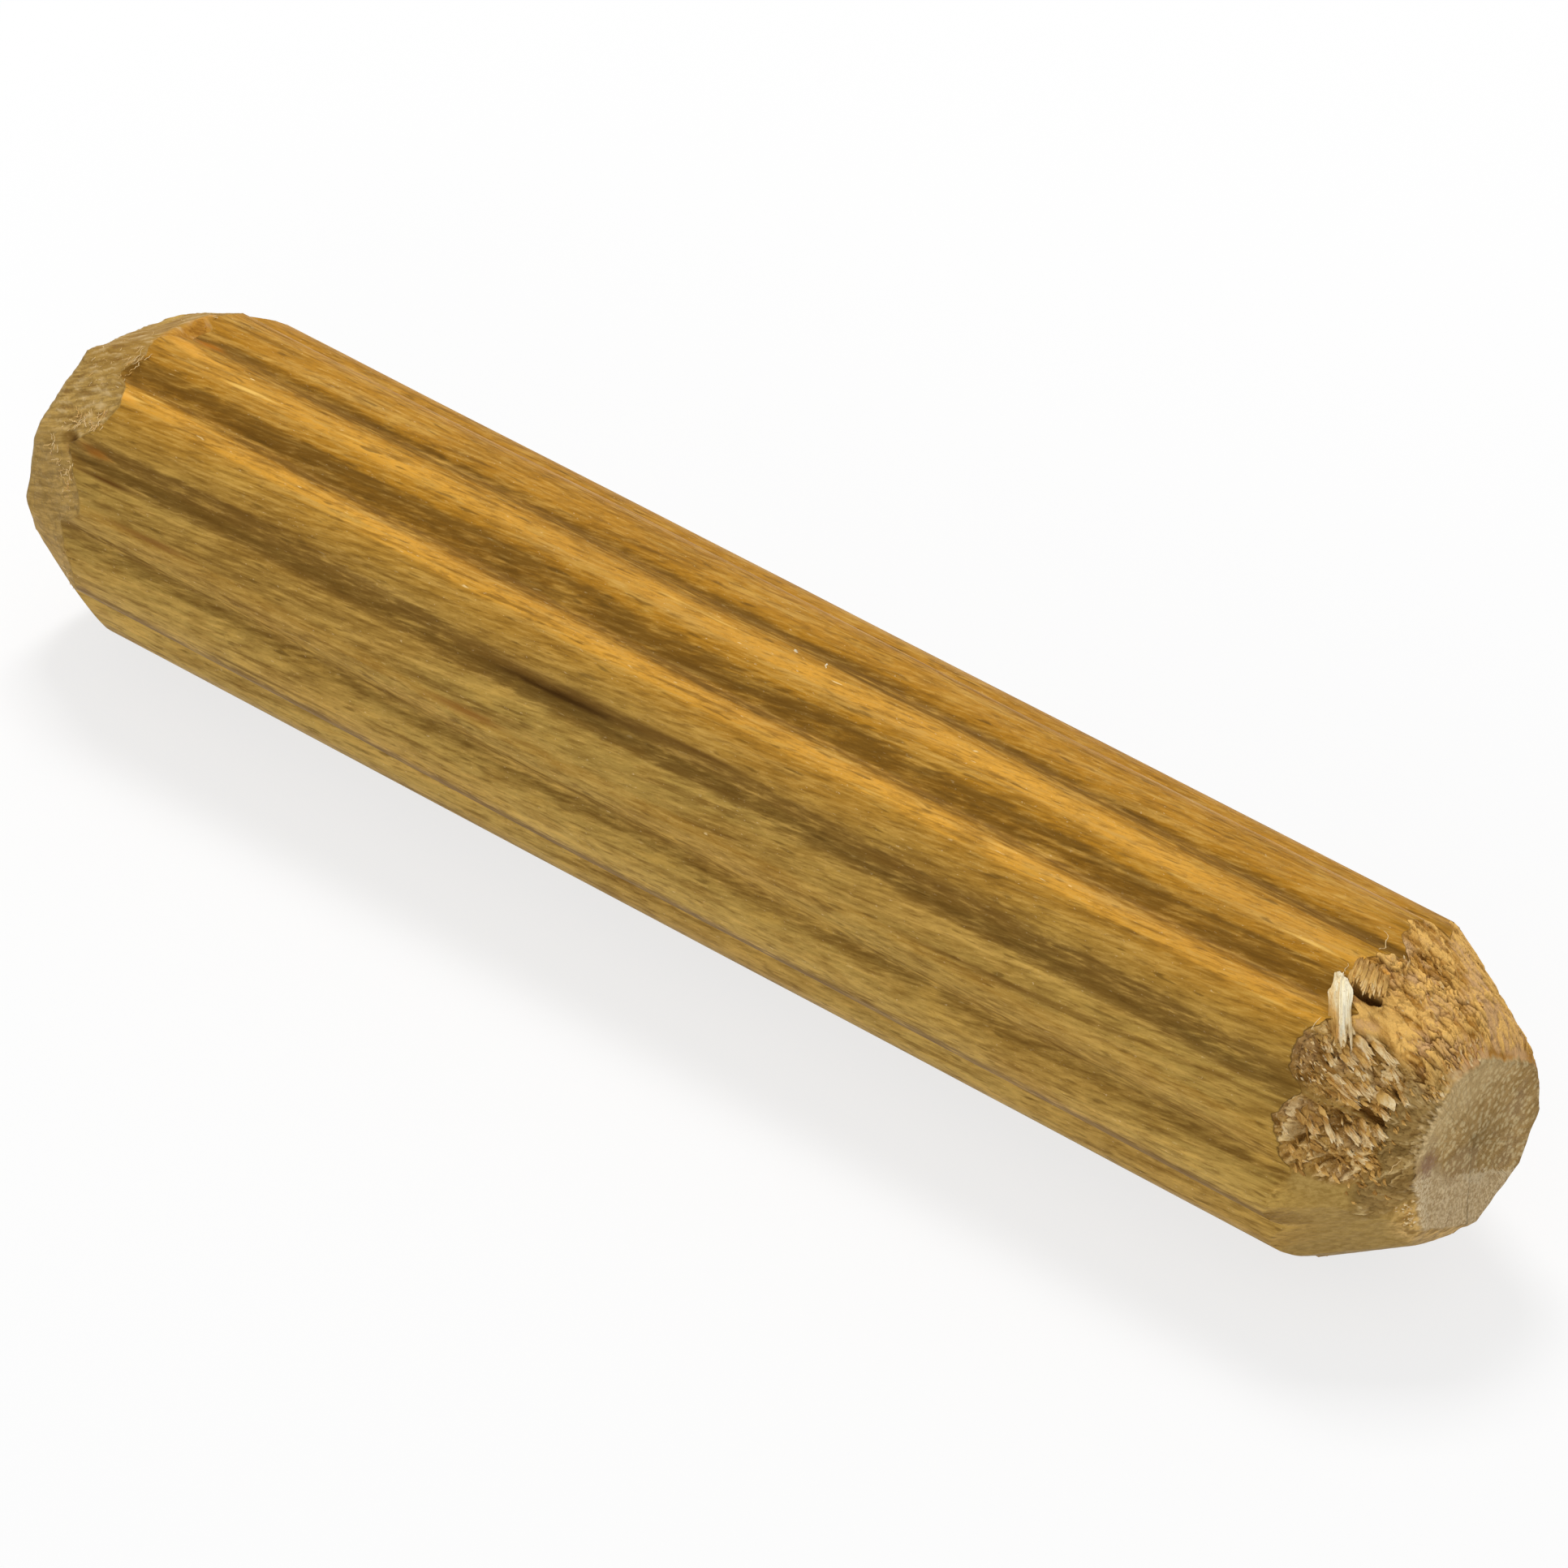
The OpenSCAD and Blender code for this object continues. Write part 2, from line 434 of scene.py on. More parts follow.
def right_relief(x, side, share):
    """Depth torn off the right chamfer and how its surface looks. x in mm, side in degrees."""
    arc = np.radians(side) * RIGHT_ARC
    drift = ripple(arc * 1.3, x * 1.3, 3.0)
    fine = ripple(arc * 9, x * 5, 8.0)
    grit = ripple(arc * 20, x * 13, 5.0)
    lean_side = side + 7 * drift
    lean_x = x + 0.25 * ripple(arc * 2.2, x * 0.5, 11.0)
    start = smooth(0.0, 0.03, share)
    rim = smooth(0.84, 0.90, share) * (1 - smooth(0.985, 1.0, share))

    # Where the wood is torn, scaly or broken
    upper_top = np.interp(x, (17.4, 17.9, 18.6, 19.2), (-26, -36, -32, -36))
    upper = smooth(-63, -58, lean_side) * (1 - smooth(-3, 3, side + 3 * drift - upper_top))
    upper = upper * window(lean_x, 16.9, 19.25, 0.12)
    lower = window(lean_side, -92, -61, 3) * window(lean_x, 17.35, 19.35, 0.12)
    hidden = window(lean_side, 100, 175, 8) * window(lean_x, 17.3, 19.0, 0.3)
    torn = np.maximum.reduce([upper, lower, 0.8 * hidden])
    patch = window(x, 17.9, 19.1, 0.12) * window(side + 3 * drift, -36, -20, 2)
    scaly = window(lean_side, -40, 215, 4) * (1 - torn) * (1 - smooth(0.90, 0.98, share))
    broken = window(lean_side, -112, -36, 6) * smooth(0.52, 0.66, share + 0.06 * drift) * (1 - torn)

    # Cracked plates in two sizes; they lie smoother towards the top of the pin
    turn = np.interp(side, (-95, -70, -45, -20, 10, 40), (-60, -46, -29, -14, 0, 12))
    run, over = slanted(x - 18.4, arc, turn)
    warp = 0.5 * fine + 1.1 * ripple(arc * 2.5, x * 2.5, 13.0)
    coarse, coarse_crack, coarse_tone = plates(run * 2.2 + 0.5 * warp, over * 3.8 + 0.7 * warp, 2.0)
    small, small_crack, small_tone = plates(run * 4.6 + 0.6 * warp, over * 8.0 + 0.9 * warp, 5.0)
    crowd = smooth(-0.25, 0.25, ripple(arc * 0.9, x * 1.1, 17.0)) * (1 - 0.75 * smooth(8, 24, side))
    scale_height = 0.55 * coarse + 0.45 * small * (0.3 + 0.7 * crowd)
    crack = np.clip(coarse_crack * (0.35 + 0.65 * crowd) + 0.8 * small_crack * crowd, 0, 1)

    # Torn splinters, long and narrow, that overlap like shingles and point down towards the face
    bend = 0.5 * ripple(over * 1.7, run * 1.2, 23.0) + 0.25 * fine
    long_ones, long_crack, long_tone = plates(run * 1.7 + bend, over * 4.8 + 1.4 * bend, 21.0)
    short_ones, short_crack, short_tone = plates(run * 4.0 + bend, over * 10.0 + 2.0 * bend, 27.0)
    torn_height = 0.17 * long_ones + 0.07 * short_ones + 0.10 * ripple(over * 1.4, run * 1.0, 29.0)
    torn_height = torn_height - 0.06 * long_crack - 0.03 * short_crack

    depth = start * (
        torn * (0.19 - torn_height)
        + scaly * (1 - 0.5 * patch) * (0.060 - 0.135 * scale_height + 0.055 * crack)
        + broken * (0.055 - 0.075 * short_ones - 0.060 * long_ones + 0.03 * short_crack)
        + rim * (0.012 - 0.030 * crumple(arc * 4.0, x * 3.0, 37.0) + 0.010 * grit)
        + 0.010 * fine * (torn + 0.5)
        + 0.005 * (0.3 + torn) * grit
    )
    hole = np.zeros_like(depth)
    for pocket_x, pocket_side, along, across, deep, slant in RIGHT_POCKETS:
        aside = (np.radians(side - pocket_side) + math.pi) % (2 * math.pi) - math.pi
        u, v = slanted(x - pocket_x, aside * RIGHT_ARC, slant)
        inside = 1 - smooth(0.45, 1.0, np.hypot(u / along, v / across) + 0.30 * fine)
        hole = np.maximum(hole, inside * min(2.4, max(0, deep) / 0.2))
        depth = depth + start * inside * deep
    depth = depth * (1 - smooth(0.97, 1.0, share))

    # Painted shade: the cracks, the low parts of the torn wood and the pockets are darker. Painted
    # highlight: the highest plates and the torn and broken crests are paler; the lump is paler as well.
    low_part_shade = torn * smooth(0.02, -0.08, torn_height)
    crack_shade = scaly * crack + 0.35 * torn * long_crack + 0.40 * broken * short_crack
    lump = window(side, -8, 7, 2) * window(x, 17.0, 17.75, 0.1)
    beyond = 1 - smooth(0.96, 0.99, share)
    dark = np.clip(crack_shade * (1 - 0.7 * lump) + 0.50 * low_part_shade + 0.9 * hole, 0, 1) * beyond
    crest = scaly * smooth(0.80, 1.0, scale_height) * 0.30
    crest = crest + torn * smooth(0.12, 0.26, torn_height) * 0.8
    crest = crest + 0.25 * broken * smooth(0.75, 1.0, short_ones) + 0.25 * lump
    # Torn wood is paler where it stands higher, a painted highlight; its tone otherwise varies at random
    torn_tone = 0.45 * long_tone + 0.25 * short_tone + 0.30 * smooth(0.0, 0.24, torn_height)
    tone = scaly * (0.6 * coarse_tone + 0.4 * small_tone + 0.3 * patch)
    return depth, {
        "torn": torn,
        "scaly": scaly,
        "broken": broken,
        "dark": dark,
        "pale": np.clip(crest, 0, 1) * (1 - np.minimum(1, hole)) * beyond,
        "plate": tone + np.maximum(torn, broken) * torn_tone,
        "fresh": 0.8 * window(side, -14.5, -10, 1.5) * window(x, 17.74, 17.95, 0.06),
        "along": run,
        "across": over,
    }


def left_relief(x, side, share):
    """The same for the left chamfer, which is brushed. x is the distance from the middle."""
    arc = np.radians(side) * LEFT_ARC
    drift = ripple(arc * 1.2, x * 1.2, 43.0)
    run, over = slanted(x - 18.7, arc, -np.interp(side, (-80, -20), (26, 10)))
    bend = 0.35 * drift + 0.12 * ripple(over * 2, run * 6, 45.0)
    waves = 0.6 * ripple(over * 6 + bend * 3, run * 1.4, 47.0)
    waves = waves + 0.8 * ripple(over * 13 + bend * 6, run * 2.6, 49.0)
    start = smooth(0.0, 0.08, share)
    notch = window(side, -9, 4, 2) * window(x, 16.9, 17.9, 0.15)
    fresh = 0.55 * window(side + 8 * drift, -14, 8, 2) * window(x, 16.8, 18.1, 0.2)
    split = window(side - 3.0 * (x - 18), -63.5, -57.5, 1.5) * window(x, 17.2, 18.7, 0.2)
    rough = window(side + 6 * drift, -58, 60, 6)
    lip = 0.02 * np.exp(-((share / 0.06) ** 2))
    depth = 0.022 * waves * (0.35 + rough) + 0.02 * drift + 0.18 * split - lip
    depth = start * depth + 0.10 * notch
    brushed = 1 - smooth(0.93, 1.0, share)
    # Painted shade in the split and the notch; the brushed wood is darker where the waves cut deeper and
    # paler where they stand higher
    dark = 0.8 * split + 0.3 * notch + (0.15 + 0.40 * rough) * smooth(0.05, 0.55, waves)
    return depth, {
        "brushed": brushed,
        "dark": np.clip(dark, 0, 1) * brushed,
        "pale": (0.12 + 0.40 * rough) * smooth(-0.05, -0.55, waves) * brushed,
        "fresh": fresh,
        "along": run,
        "across": over,
    }


def ragged(degrees, seed, reach):
    """Uneven line of a torn edge, by side."""
    arc = np.radians(degrees) * 4
    line = 0.0
    for waves, step, weight in ((1.2, 0, 0.6), (3.5, 5, 0.6), (9.0, 9, 0.25)):
        line = line + weight * ripple(arc * waves, arc * 0, seed + step)
    return reach * line


# Painted shade, with some dirt, in the flutes, and painted highlights on the lands: from side, to side,
# share
FLUTE_DIRT_AND_SHADE = (
    (-6.0, 2.5, 0.85), (-33.0, -22.5, 0.85), (-64.5, -54.0, 1.0), (-94.0, -86.0, 0.56),
    (-119.0, -108.0, 1.0), (27.5, 32.0, 0.35), (55.5, 64.0, 0.85), (85.5, 94.0, 0.95),
    (115.5, 124.0, 0.85), (146.0, 154.0, 0.9), (175.5, 185.0, 0.8), (-185.0, -176.0, 0.8),
    (-154.0, -146.0, 0.7),
)
# Painted highlights along the lands
PAINTED_LAND_HIGHLIGHTS = (
    (-18.0, -10.0, 0.8), (-41.0, -34.5, 1.0), (-80.0, -75.0, 0.3), (18.0, 44.0, 0.30),
    (5.0, 15.0, 0.20), (68.0, 82.0, 0.45), (98.0, 111.0, 0.55), (128.0, 141.0, 0.45),
    (159.0, 170.0, 0.35), (-171.0, -160.0, 0.25),
)
# What the ends are painted with, for the material to read
PAINTED = (
    "torn", "scaly", "brushed", "broken", "fresh", "dark", "pale", "plate",
    "along", "across", "chamfer", "rim", "sawn",
)


def cut_ends(blank, size, right, left):
    """Chamfers and tears both ends. The rings slide so that one of them runs along each cut."""
    place = points(blank)
    x = place[:, 0]
    side = np.arctan2(place[:, 1], place[:, 2])
    degrees = np.degrees(side)
    radius = np.hypot(place[:, 1], place[:, 2])
    pitch = 2 * math.pi / size.flutes
    grid = np.arange(size.columns + 1) * pitch / size.columns / 2
    shank = np.interp(from_flute(side, pitch), grid, [flute_radius(at, size) for at in grid])
    right_cut = where_cut(right, RIGHT_FLATS, side, shank) + MM * (
        ragged(degrees, 1.0, 0.10 + 0.14 * window(degrees, -95, 45, 6))
        - 0.22 * np.exp(-(((degrees + 24) / 4) ** 2))
        - 0.20 * window(degrees, -60, -42, 3)
    )
    left_cut = where_cut(left, LEFT_FLATS, side, shank) + MM * (
        ragged(degrees, 31.0, 0.10)
        - 0.62 * window(degrees, -7, 5, 2)
        + 0.30 * window(degrees, -20, -10, 3)
    )
    left_cut = np.minimum(left_cut, HALF_LENGTH - LEAST_CHAMFER * MM)
    along = np.clip((x + left.cut_start) / (right.cut_start + left.cut_start), 0, 1)
    new_x = -left_cut + along * (right_cut + left_cut)
    sway = ripple(side * 9, x / MM * 0.13, 61.0) + 0.5 * ripple(side * 25, x / MM * 0.3, 67.0)
    new_side = side + size.wander / LAND_RADIUS * ripple(side * 2.3, x / MM * 0.11, 63.0)
    in_flute = np.clip((size.land_radius - shank) / size.flute_depth, 0, 1)
    worn_shank = shank - (0.030 * sway * (0.3 + 0.7 * in_flute) + 0.006) * MM
    new_radius = worn_shank.copy()
    looks = {name: np.zeros_like(side) for name in PAINTED}
    # The flutes get painted shade with some dirt, and the lands get painted highlights
    for name, bands, soft in (("flute", FLUTE_DIRT_AND_SHADE, 1.6), ("gleam", PAINTED_LAND_HIGHLIGHTS, 1.4)):
        looks[name] = sum(share * window(degrees, start, end, soft) for start, end, share in bands)
    for way, end, flats, relief, cut in (
        (1, right, RIGHT_FLATS, right_relief, right_cut),
        (-1, left, LEFT_FLATS, left_relief, left_cut),
    ):
        here = np.flatnonzero(way * x > end.cut_start + 0.1 * TOUCH)
        out, turn, side_here = way * x[here], side[here], degrees[here]
        on_face = out > HALF_LENGTH - 0.1 * TOUCH
        share = np.where(on_face, 1.0, (out - end.cut_start) / (HALF_LENGTH - end.cut_start))
        reach = cut[here] + share * (HALF_LENGTH - cut[here])
        bumps = 0.06 * ripple(turn * 5, reach / MM, 79.0) * smooth(0.75, 1.0, share)
        depth, found = relief(reach / MM, side_here, share)
        surface = np.minimum(worn_shank[here], end_radius(end, flats, turn, reach) + bumps * MM)
        surface = surface - np.maximum(depth, -HIGHEST_CREST) * MM

        # The sawn face is dished a little and scored by the saw
        to_middle = np.where(on_face, radius[here] / shank[here], 1.0)
        y, z = np.sin(turn) * to_middle, np.cos(turn) * to_middle
        dish = 0.05 * (1 + ripple(y * 3, z * 3, 71.0)) + 0.012 * ripple(y * 11, z * 11, 73.0)
        dish = dish * smooth(0.0, 0.2, 1 - to_middle)
        new_radius[here] = surface * to_middle
        new_x[here] = way * (reach - np.where(on_face, dish, 0) * MM)

        for name, values in found.items():
            looks[name][here] = values
        low_side = window(side_here, -135, -96, 5)
        looks["chamfer"][here] = smooth(0.0, 0.03 + 0.55 * low_side, share + 0.1 * low_side)
        sawn = smooth(0.965, 0.995, share + 0.02 * ripple(turn * 14, share, 75.0))
        looks["sawn"][here] = np.where(on_face, 1.0, sawn)
        if way == 1:
            fringe = smooth(0.90, 0.96, share) * (1 - smooth(0.02, 0.12, 1 - to_middle))
            fringe = fringe * window(side_here, -78, -14, 8)
            fray = ripple(turn * 26, share * 30 - to_middle * 20, 83.0)
            looks["pale"][here] += 0.8 * fringe * smooth(-0.15, 0.35, fray)
            looks["rim"][here] = smooth(0.72, 0.88, share + 0.05 * ripple(turn * 6, share, 77.0))
    across = [new_radius * np.sin(new_side), new_radius * np.cos(new_side)]
    set_points(blank, np.column_stack([new_x, *across]))
    for name, values in looks.items():
        mark(blank, name, values)


class DOWEL_OT_pin(bpy.types.Operator):
    """Model the fluted pin with its two chamfered and torn ends"""

    bl_idname = "dowel.pin"
    bl_label = "Pin"

    def execute(self, context):
        scene = context.scene
        sizes = scene.dowel_shank, scene.dowel_right, scene.dowel_left
        pin = make_blank(*sizes)
        edit(pin, "FACE")

        def in_view(face):
            middle = face.calc_center_median()
            side = math.degrees(math.atan2(middle.y, middle.z))
            on_chamfer = scene.dowel_right.cut_start < middle.x < HALF_LENGTH - TOUCH
            return on_chamfer and -125 < side < 55

        pick(pin, "faces", in_view)
        bpy.ops.mesh.subdivide(number_cuts=1)
        bpy.ops.object.mode_set(mode="OBJECT")
        cut_ends(pin, *sizes)
        bpy.ops.object.shade_smooth()
        pin.data.materials.append(wood_look(scene.dowel_colours))
        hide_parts(NODE)
        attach(pin, "root")
        return {"FINISHED"}


# Splinters, chips and fibres -----------------------------------------------------------------


def pin_surface():
    return BVHTree.FromObject(bpy.data.objects["pin_wood"], bpy.context.evaluated_depsgraph_get())


def seat(tree, x, degrees):
    """Point of the pin's surface at an x in mm and a side in degrees, and the way it faces."""
    side = math.radians(degrees)
    outwards = Vector((0, math.sin(side), math.cos(side)))
    point, _, _, _ = tree.ray_cast(Vector((x * MM, 0, 0)) + 2 * LAND_RADIUS * outwards, -outwards)
    if point is None:
        raise RuntimeError(f"no surface at {x}, {degrees}")
    tilt = math.copysign(CHAMFER_LEAN, x) * float(smooth(17.0, 17.5, abs(x)))
    return point, outwards * math.cos(tilt) + Vector((math.sin(tilt), 0, 0))


def seats(tree, x, side, tip_x, tip_side):
    """The two ends of something that lies on the pin, and the way its root faces."""
    root, normal = seat(tree, x, side)
    return root, seat(tree, tip_x, tip_side)[0], normal


def make_bar(name, sides, rings, grooved=False):
    """A closed bar of unit length and width along +X, in edit mode."""
    bar = make_ring(name, sides, 0.5)
    if grooved:
        pick(bar, "verts", lambda v: v.index % 2 == 0)
        resize(*GROOVE)
        bpy.ops.mesh.select_all(action="SELECT")
    bpy.ops.mesh.edge_face_add()
    for _ in range(rings):
        draw_out(1 / rings)
    return bar


def make_blade(name, sides, widths, heights, arch, ragged_end=0.0):
    """A grooved bar with a ring for each width and height, arched up in the middle."""
    rings = len(widths) - 1
    blade = make_bar(name, sides, rings, grooved=True)
    for ring, (width, height) in enumerate(zip(widths, heights)):
        at = ring / rings
        pick(blade, "verts", lambda v: abs(v.co.x - at) < 0.01)
        resize(width, height, at)
        bpy.ops.transform.translate(value=(0, 0, arch * math.sin(math.pi * at)))
    pick(blade, "faces", lambda f: len(f.verts) > 4)
    bpy.ops.mesh.quads_convert_to_tris(ngon_method="BEAUTY")
    bpy.ops.object.mode_set(mode="OBJECT")
    values = points(blade)
    teeth = ripple(values[:, 1] * 7, values[:, 2] * 2, 91.0) * smooth(0.7, 1.0, values[:, 0])
    values[:, 0] += ragged_end * teeth
    set_points(blade, values)
    return blade


def twin(piece):
    """A copy of a piece with its own mesh."""
    copy = piece.copy()
    copy.data = piece.data.copy()
    bpy.context.scene.collection.objects.link(copy)
    return copy


def lay(blade, root, tip, normal, width, thickness, lift, tone, seed, twist=0.0, loose=1.0):
    """A copy of a blade from a root point towards a tip point. Sizes in mm, lift in degrees."""
    copy = twin(blade)
    run = (tip - root).normalized()
    over = normal.cross(run).normalized()
    run = (Matrix.Rotation(-math.radians(lift), 3, over) @ run).normalized()
    turn = Matrix.Rotation(twist, 3, run)
    over, up = turn @ over, turn @ run.cross(over).normalized()
    values = points(copy)
    jitter = np.array([noise.noise_vector(Vector((v[0] * 2.6, v[1] * 2.2, seed))) for v in values])
    values = values + loose * jitter * np.array(STRAY)
    axes = np.array([run * (tip - root).length, over * width * MM, up * thickness * MM])
    set_points(copy, values @ axes + np.array(root))
    mark(copy, "tone", np.clip(tone * (0.35 + 0.95 * values[:, 0]) + 0.3 * jitter[:, 0], 0, 1.08))
    return copy


def lay_fibre(fibre, root, run, normal, long, thickness, curl, tone, seed):
    """A copy of a fibre, curled to one side and a little upwards. Thickness in mm."""
    copy = twin(fibre)
    run = run.normalized()
    up = (normal - run * normal.dot(run)).normalized()
    over = up.cross(run).normalized()
    values = points(copy)
    along = values[:, 0]
    seeds = np.full_like(along, seed)
    bend = curl * along**2 + 0.25 * ripple(along * 3, seeds, 0)
    rise = 0.35 * abs(curl) * along + 0.2 * ripple(along * 3, seeds, 9)
    thin = thickness * MM * (1 - 0.6 * along)
    y, z = bend * long + values[:, 1] * thin, rise * along * long + values[:, 2] * thin
    place = np.column_stack([along * long, y, z])
    set_points(copy, place @ np.array([run, over, up]) + np.array(root))
    mark(copy, "tone", np.full_like(along, tone))
    return copy


def gather(pieces, name, *patterns):
    """Joins copies into one piece of the pin, and removes the patterns they were copied from."""
    for pattern in patterns:
        bpy.data.objects.remove(pattern)
    deselect()
    for piece in pieces:
        piece.select_set(True)
    bpy.context.view_layer.objects.active = pieces[0]
    bpy.ops.object.join()
    whole = bpy.context.view_layer.objects.active
    whole.name = name
    whole.matrix_world = Matrix.Identity(4)
    edit(whole)
    close_up()
    bpy.ops.object.shade_smooth_by_angle(angle=SHARP_EDGE)
    whole.data.materials.clear()
    whole.data.materials.append(fibre_look())
    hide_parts(NODE)
    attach(whole, "root")


# Flakes that stand out: root x and side, tip x and side, width and thickness in mm, lift, tone
RIGHT_FLAKES = (
    (18.05, -6.0, 17.75, 0.5, 0.12, 0.08, 3, 0.50),
    (18.16, -36.0, 18.60, -39.5, 0.15, 0.10, 8, 1.00),
    (18.48, -34.0, 19.00, -37.4, 0.13, 0.10, 9, 1.00),
    (18.70, -34.6, 19.04, -36.0, 0.09, 0.08, 9, 0.80),
    (18.96, -38.5, 19.21, -42.0, 0.07, 0.06, 16, 1.00),
    (18.10, -43.8, 18.45, -46.2, 0.14, 0.10, 5, 0.75),
    (18.34, -45.0, 18.70, -47.8, 0.13, 0.10, 7, 0.85),
    (18.22, -39.5, 18.66, -43.0, 0.20, 0.12, 3, 0.40),
    (18.04, -53.5, 18.62, -58.8, 0.11, 0.10, 7, 0.85),
    (17.96, -51.0, 18.36, -53.8, 0.10, 0.09, 7, 0.95),
    (18.28, -51.5, 18.62, -55.6, 0.12, 0.09, 8, 0.70),
    (18.50, -51.0, 18.86, -53.9, 0.14, 0.11, 8, 0.90),
    (18.60, -48.6, 18.92, -51.4, 0.11, 0.09, 8, 0.80),
    (17.80, -46.0, 18.10, -49.5, 0.10, 0.07, 8, 0.60),
    (17.70, -41.5, 17.90, -46.0, 0.09, 0.07, 8, 0.80),
    (18.18, -68.0, 18.60, -76.6, 0.11, 0.09, 9, 0.95),
    (17.92, -70.0, 18.26, -75.8, 0.11, 0.09, 6, 0.60),
    (17.58, -73.2, 17.80, -77.0, 0.06, 0.05, 10, 1.00),
    (17.80, -80.0, 17.98, -86.0, 0.10, 0.06, 4, 0.45),
    (18.62, -68.8, 19.03, -75.0, 0.13, 0.10, 9, 0.95),
    (18.86, -68.0, 19.20, -76.2, 0.10, 0.09, 12, 1.00),
    (18.72, -64.5, 19.08, -69.5, 0.14, 0.09, 5, 0.55),
    (19.06, -65.2, 19.38, -70.4, 0.12, 0.09, 8, 0.80),
    (18.40, -72.0, 18.72, -77.0, 0.10, 0.08, 8, 0.70),
    (18.76, -77.8, 18.95, -80.8, 0.09, 0.07, 10, 0.90),
    (18.92, -79.5, 19.15, -83.4, 0.12, 0.09, 8, 0.70),
    (18.98, -56.5, 19.32, -60.0, 0.11, 0.08, 8, 0.75),
    (19.20, -44.5, 19.50, -50.0, 0.10, 0.07, 6, 0.65),
)
# Small flakes: count, x from and to, side from and to, slant, longest in mm, tone from and to
SMALL_FLAKES = (
    (46, 17.6, 19.1, -60, -38, -35, 0.30, 0.05, 0.65),
    (50, 17.7, 19.2, -90, -63, -50, 0.30, 0.05, 0.65),
    (30, 17.42, 17.8, -58, -42, -35, 0.12, 0.10, 0.70),
    (50, 18.9, 19.5, -105, -40, -60, 0.20, 0.05, 0.60),
    (26, 17.6, 19.2, -26, 30, -10, 0.20, 0.40, 0.65),
    (60, 19.55, 19.90, -40, 12, -30, 0.16, 0.45, 0.85),
    (50, 17.6, 19.2, 70, 165, 10, 0.30, 0.20, 0.70),
    (36, 17.45, 18.1, -58, -42, -35, 0.13, 0.80, 1.20),
    (22, 19.60, 19.88, -128, -108, -60, 0.12, 0.90, 1.40),
)
# Chips beside the splinter: root x and side, tip x and side, width and thickness in mm, tone
RIGHT_CHIPS = (
    (18.92, -49.2, 19.30, -54.0, 0.26, 0.18, 1.0),
    (17.86, -38.2, 17.90, -43.2, 0.09, 0.08, 0.8),
    (17.98, -37.2, 18.08, -41.8, 0.10, 0.08, 0.9),
    (17.92, -33.6, 18.14, -36.2, 0.08, 0.08, 0.9),
)
# Fibres on the left end: count, x from and to, side from and to, longest in mm
LEFT_FRINGE = (
    (30, 17.75, 18.80, -54, -48, 0.34),
    (10, 17.60, 17.95, -50, -42, 0.26),
    (20, 17.75, 18.30, -28, -21, 0.32),
    (12, 18.60, 19.20, -68, -62, 0.26),
    (20, 18.00, 18.60, -76, -66, 0.30),
    (50, 17.80, 19.60, -58, -8, 0.16),
    (20, 17.85, 18.20, -112, -62, 0.16),
    (20, 17.60, 18.80, 0, 60, 0.20),
    (50, 17.60, 18.80, 70, 240, 0.24),
)
FRINGE_THICKNESS = 0.024
# Loose fibres and specks: root x and side, tip x and side, thickness in mm, curl, tone
LOOSE_FIBRES = (
    (17.58, -35, 17.30, -41, 0.035, 0.2, 1.0),
    (17.42, -6, 17.22, 3, 0.03, 0.3, 0.9),
    (17.30, -22, 17.12, -18, 0.03, -0.2, 1.0),
    (19.55, -88, 19.75, -80, 0.03, 0.1, 0.9),
    (1.62, -6.4, 1.80, -8.6, 0.055, 0.1, 1.3),
    (0.80, -7.4, 0.90, -8.0, 0.090, 0.0, 1.3),
)
# Fibres side by side that make the lip over the hole: x and side of the first root and tip, and how
# far the last ones lie from them
LIP_FIBRES = 16
LIP_START = 17.24, -13.6, 17.48, -28.0
LIP_SPAN = 0.62, 2.0, 0.74, 3.0
# Seeds of the random draws
LIP_SEED, FLAKE_SEED, FRINGE_SEED = 8, 4, 12

# Widths and heights of the blades, from root to tip
FLAKE = (0.75, 0.95, 1.0, 1.05, 1.0, 0.80), (0.8, 1.0, 1.0, 0.95, 0.8, 0.5)
SLAB = (
    (0.8, 0.92, 1.0, 1.0, 0.98, 1.0, 1.02, 1.0, 0.95),
    (0.8, 1.0, 1.0, 1.0, 1.0, 0.8, 0.5, 0.25, 0.08),
)
CHIP = (0.45, 0.8, 1.0, 1.0, 0.95, 0.8, 0.5), (0.5, 0.9, 1.0, 1.0, 1.0, 0.8, 0.4)
SPLINTER = (
    (0.86, 0.90, 0.94, 0.97, *[1.0] * 5, 0.99, 0.97, 0.95, 0.92, 0.86, 0.76, 0.62, 0.48, 0.36, 0.22),
    (0.12, 0.4, 0.7, 0.9, *[1.0] * 6, 0.98, 0.95, 0.9, 0.85, 0.8, 0.7, 0.6, 0.45, 0.3),
)


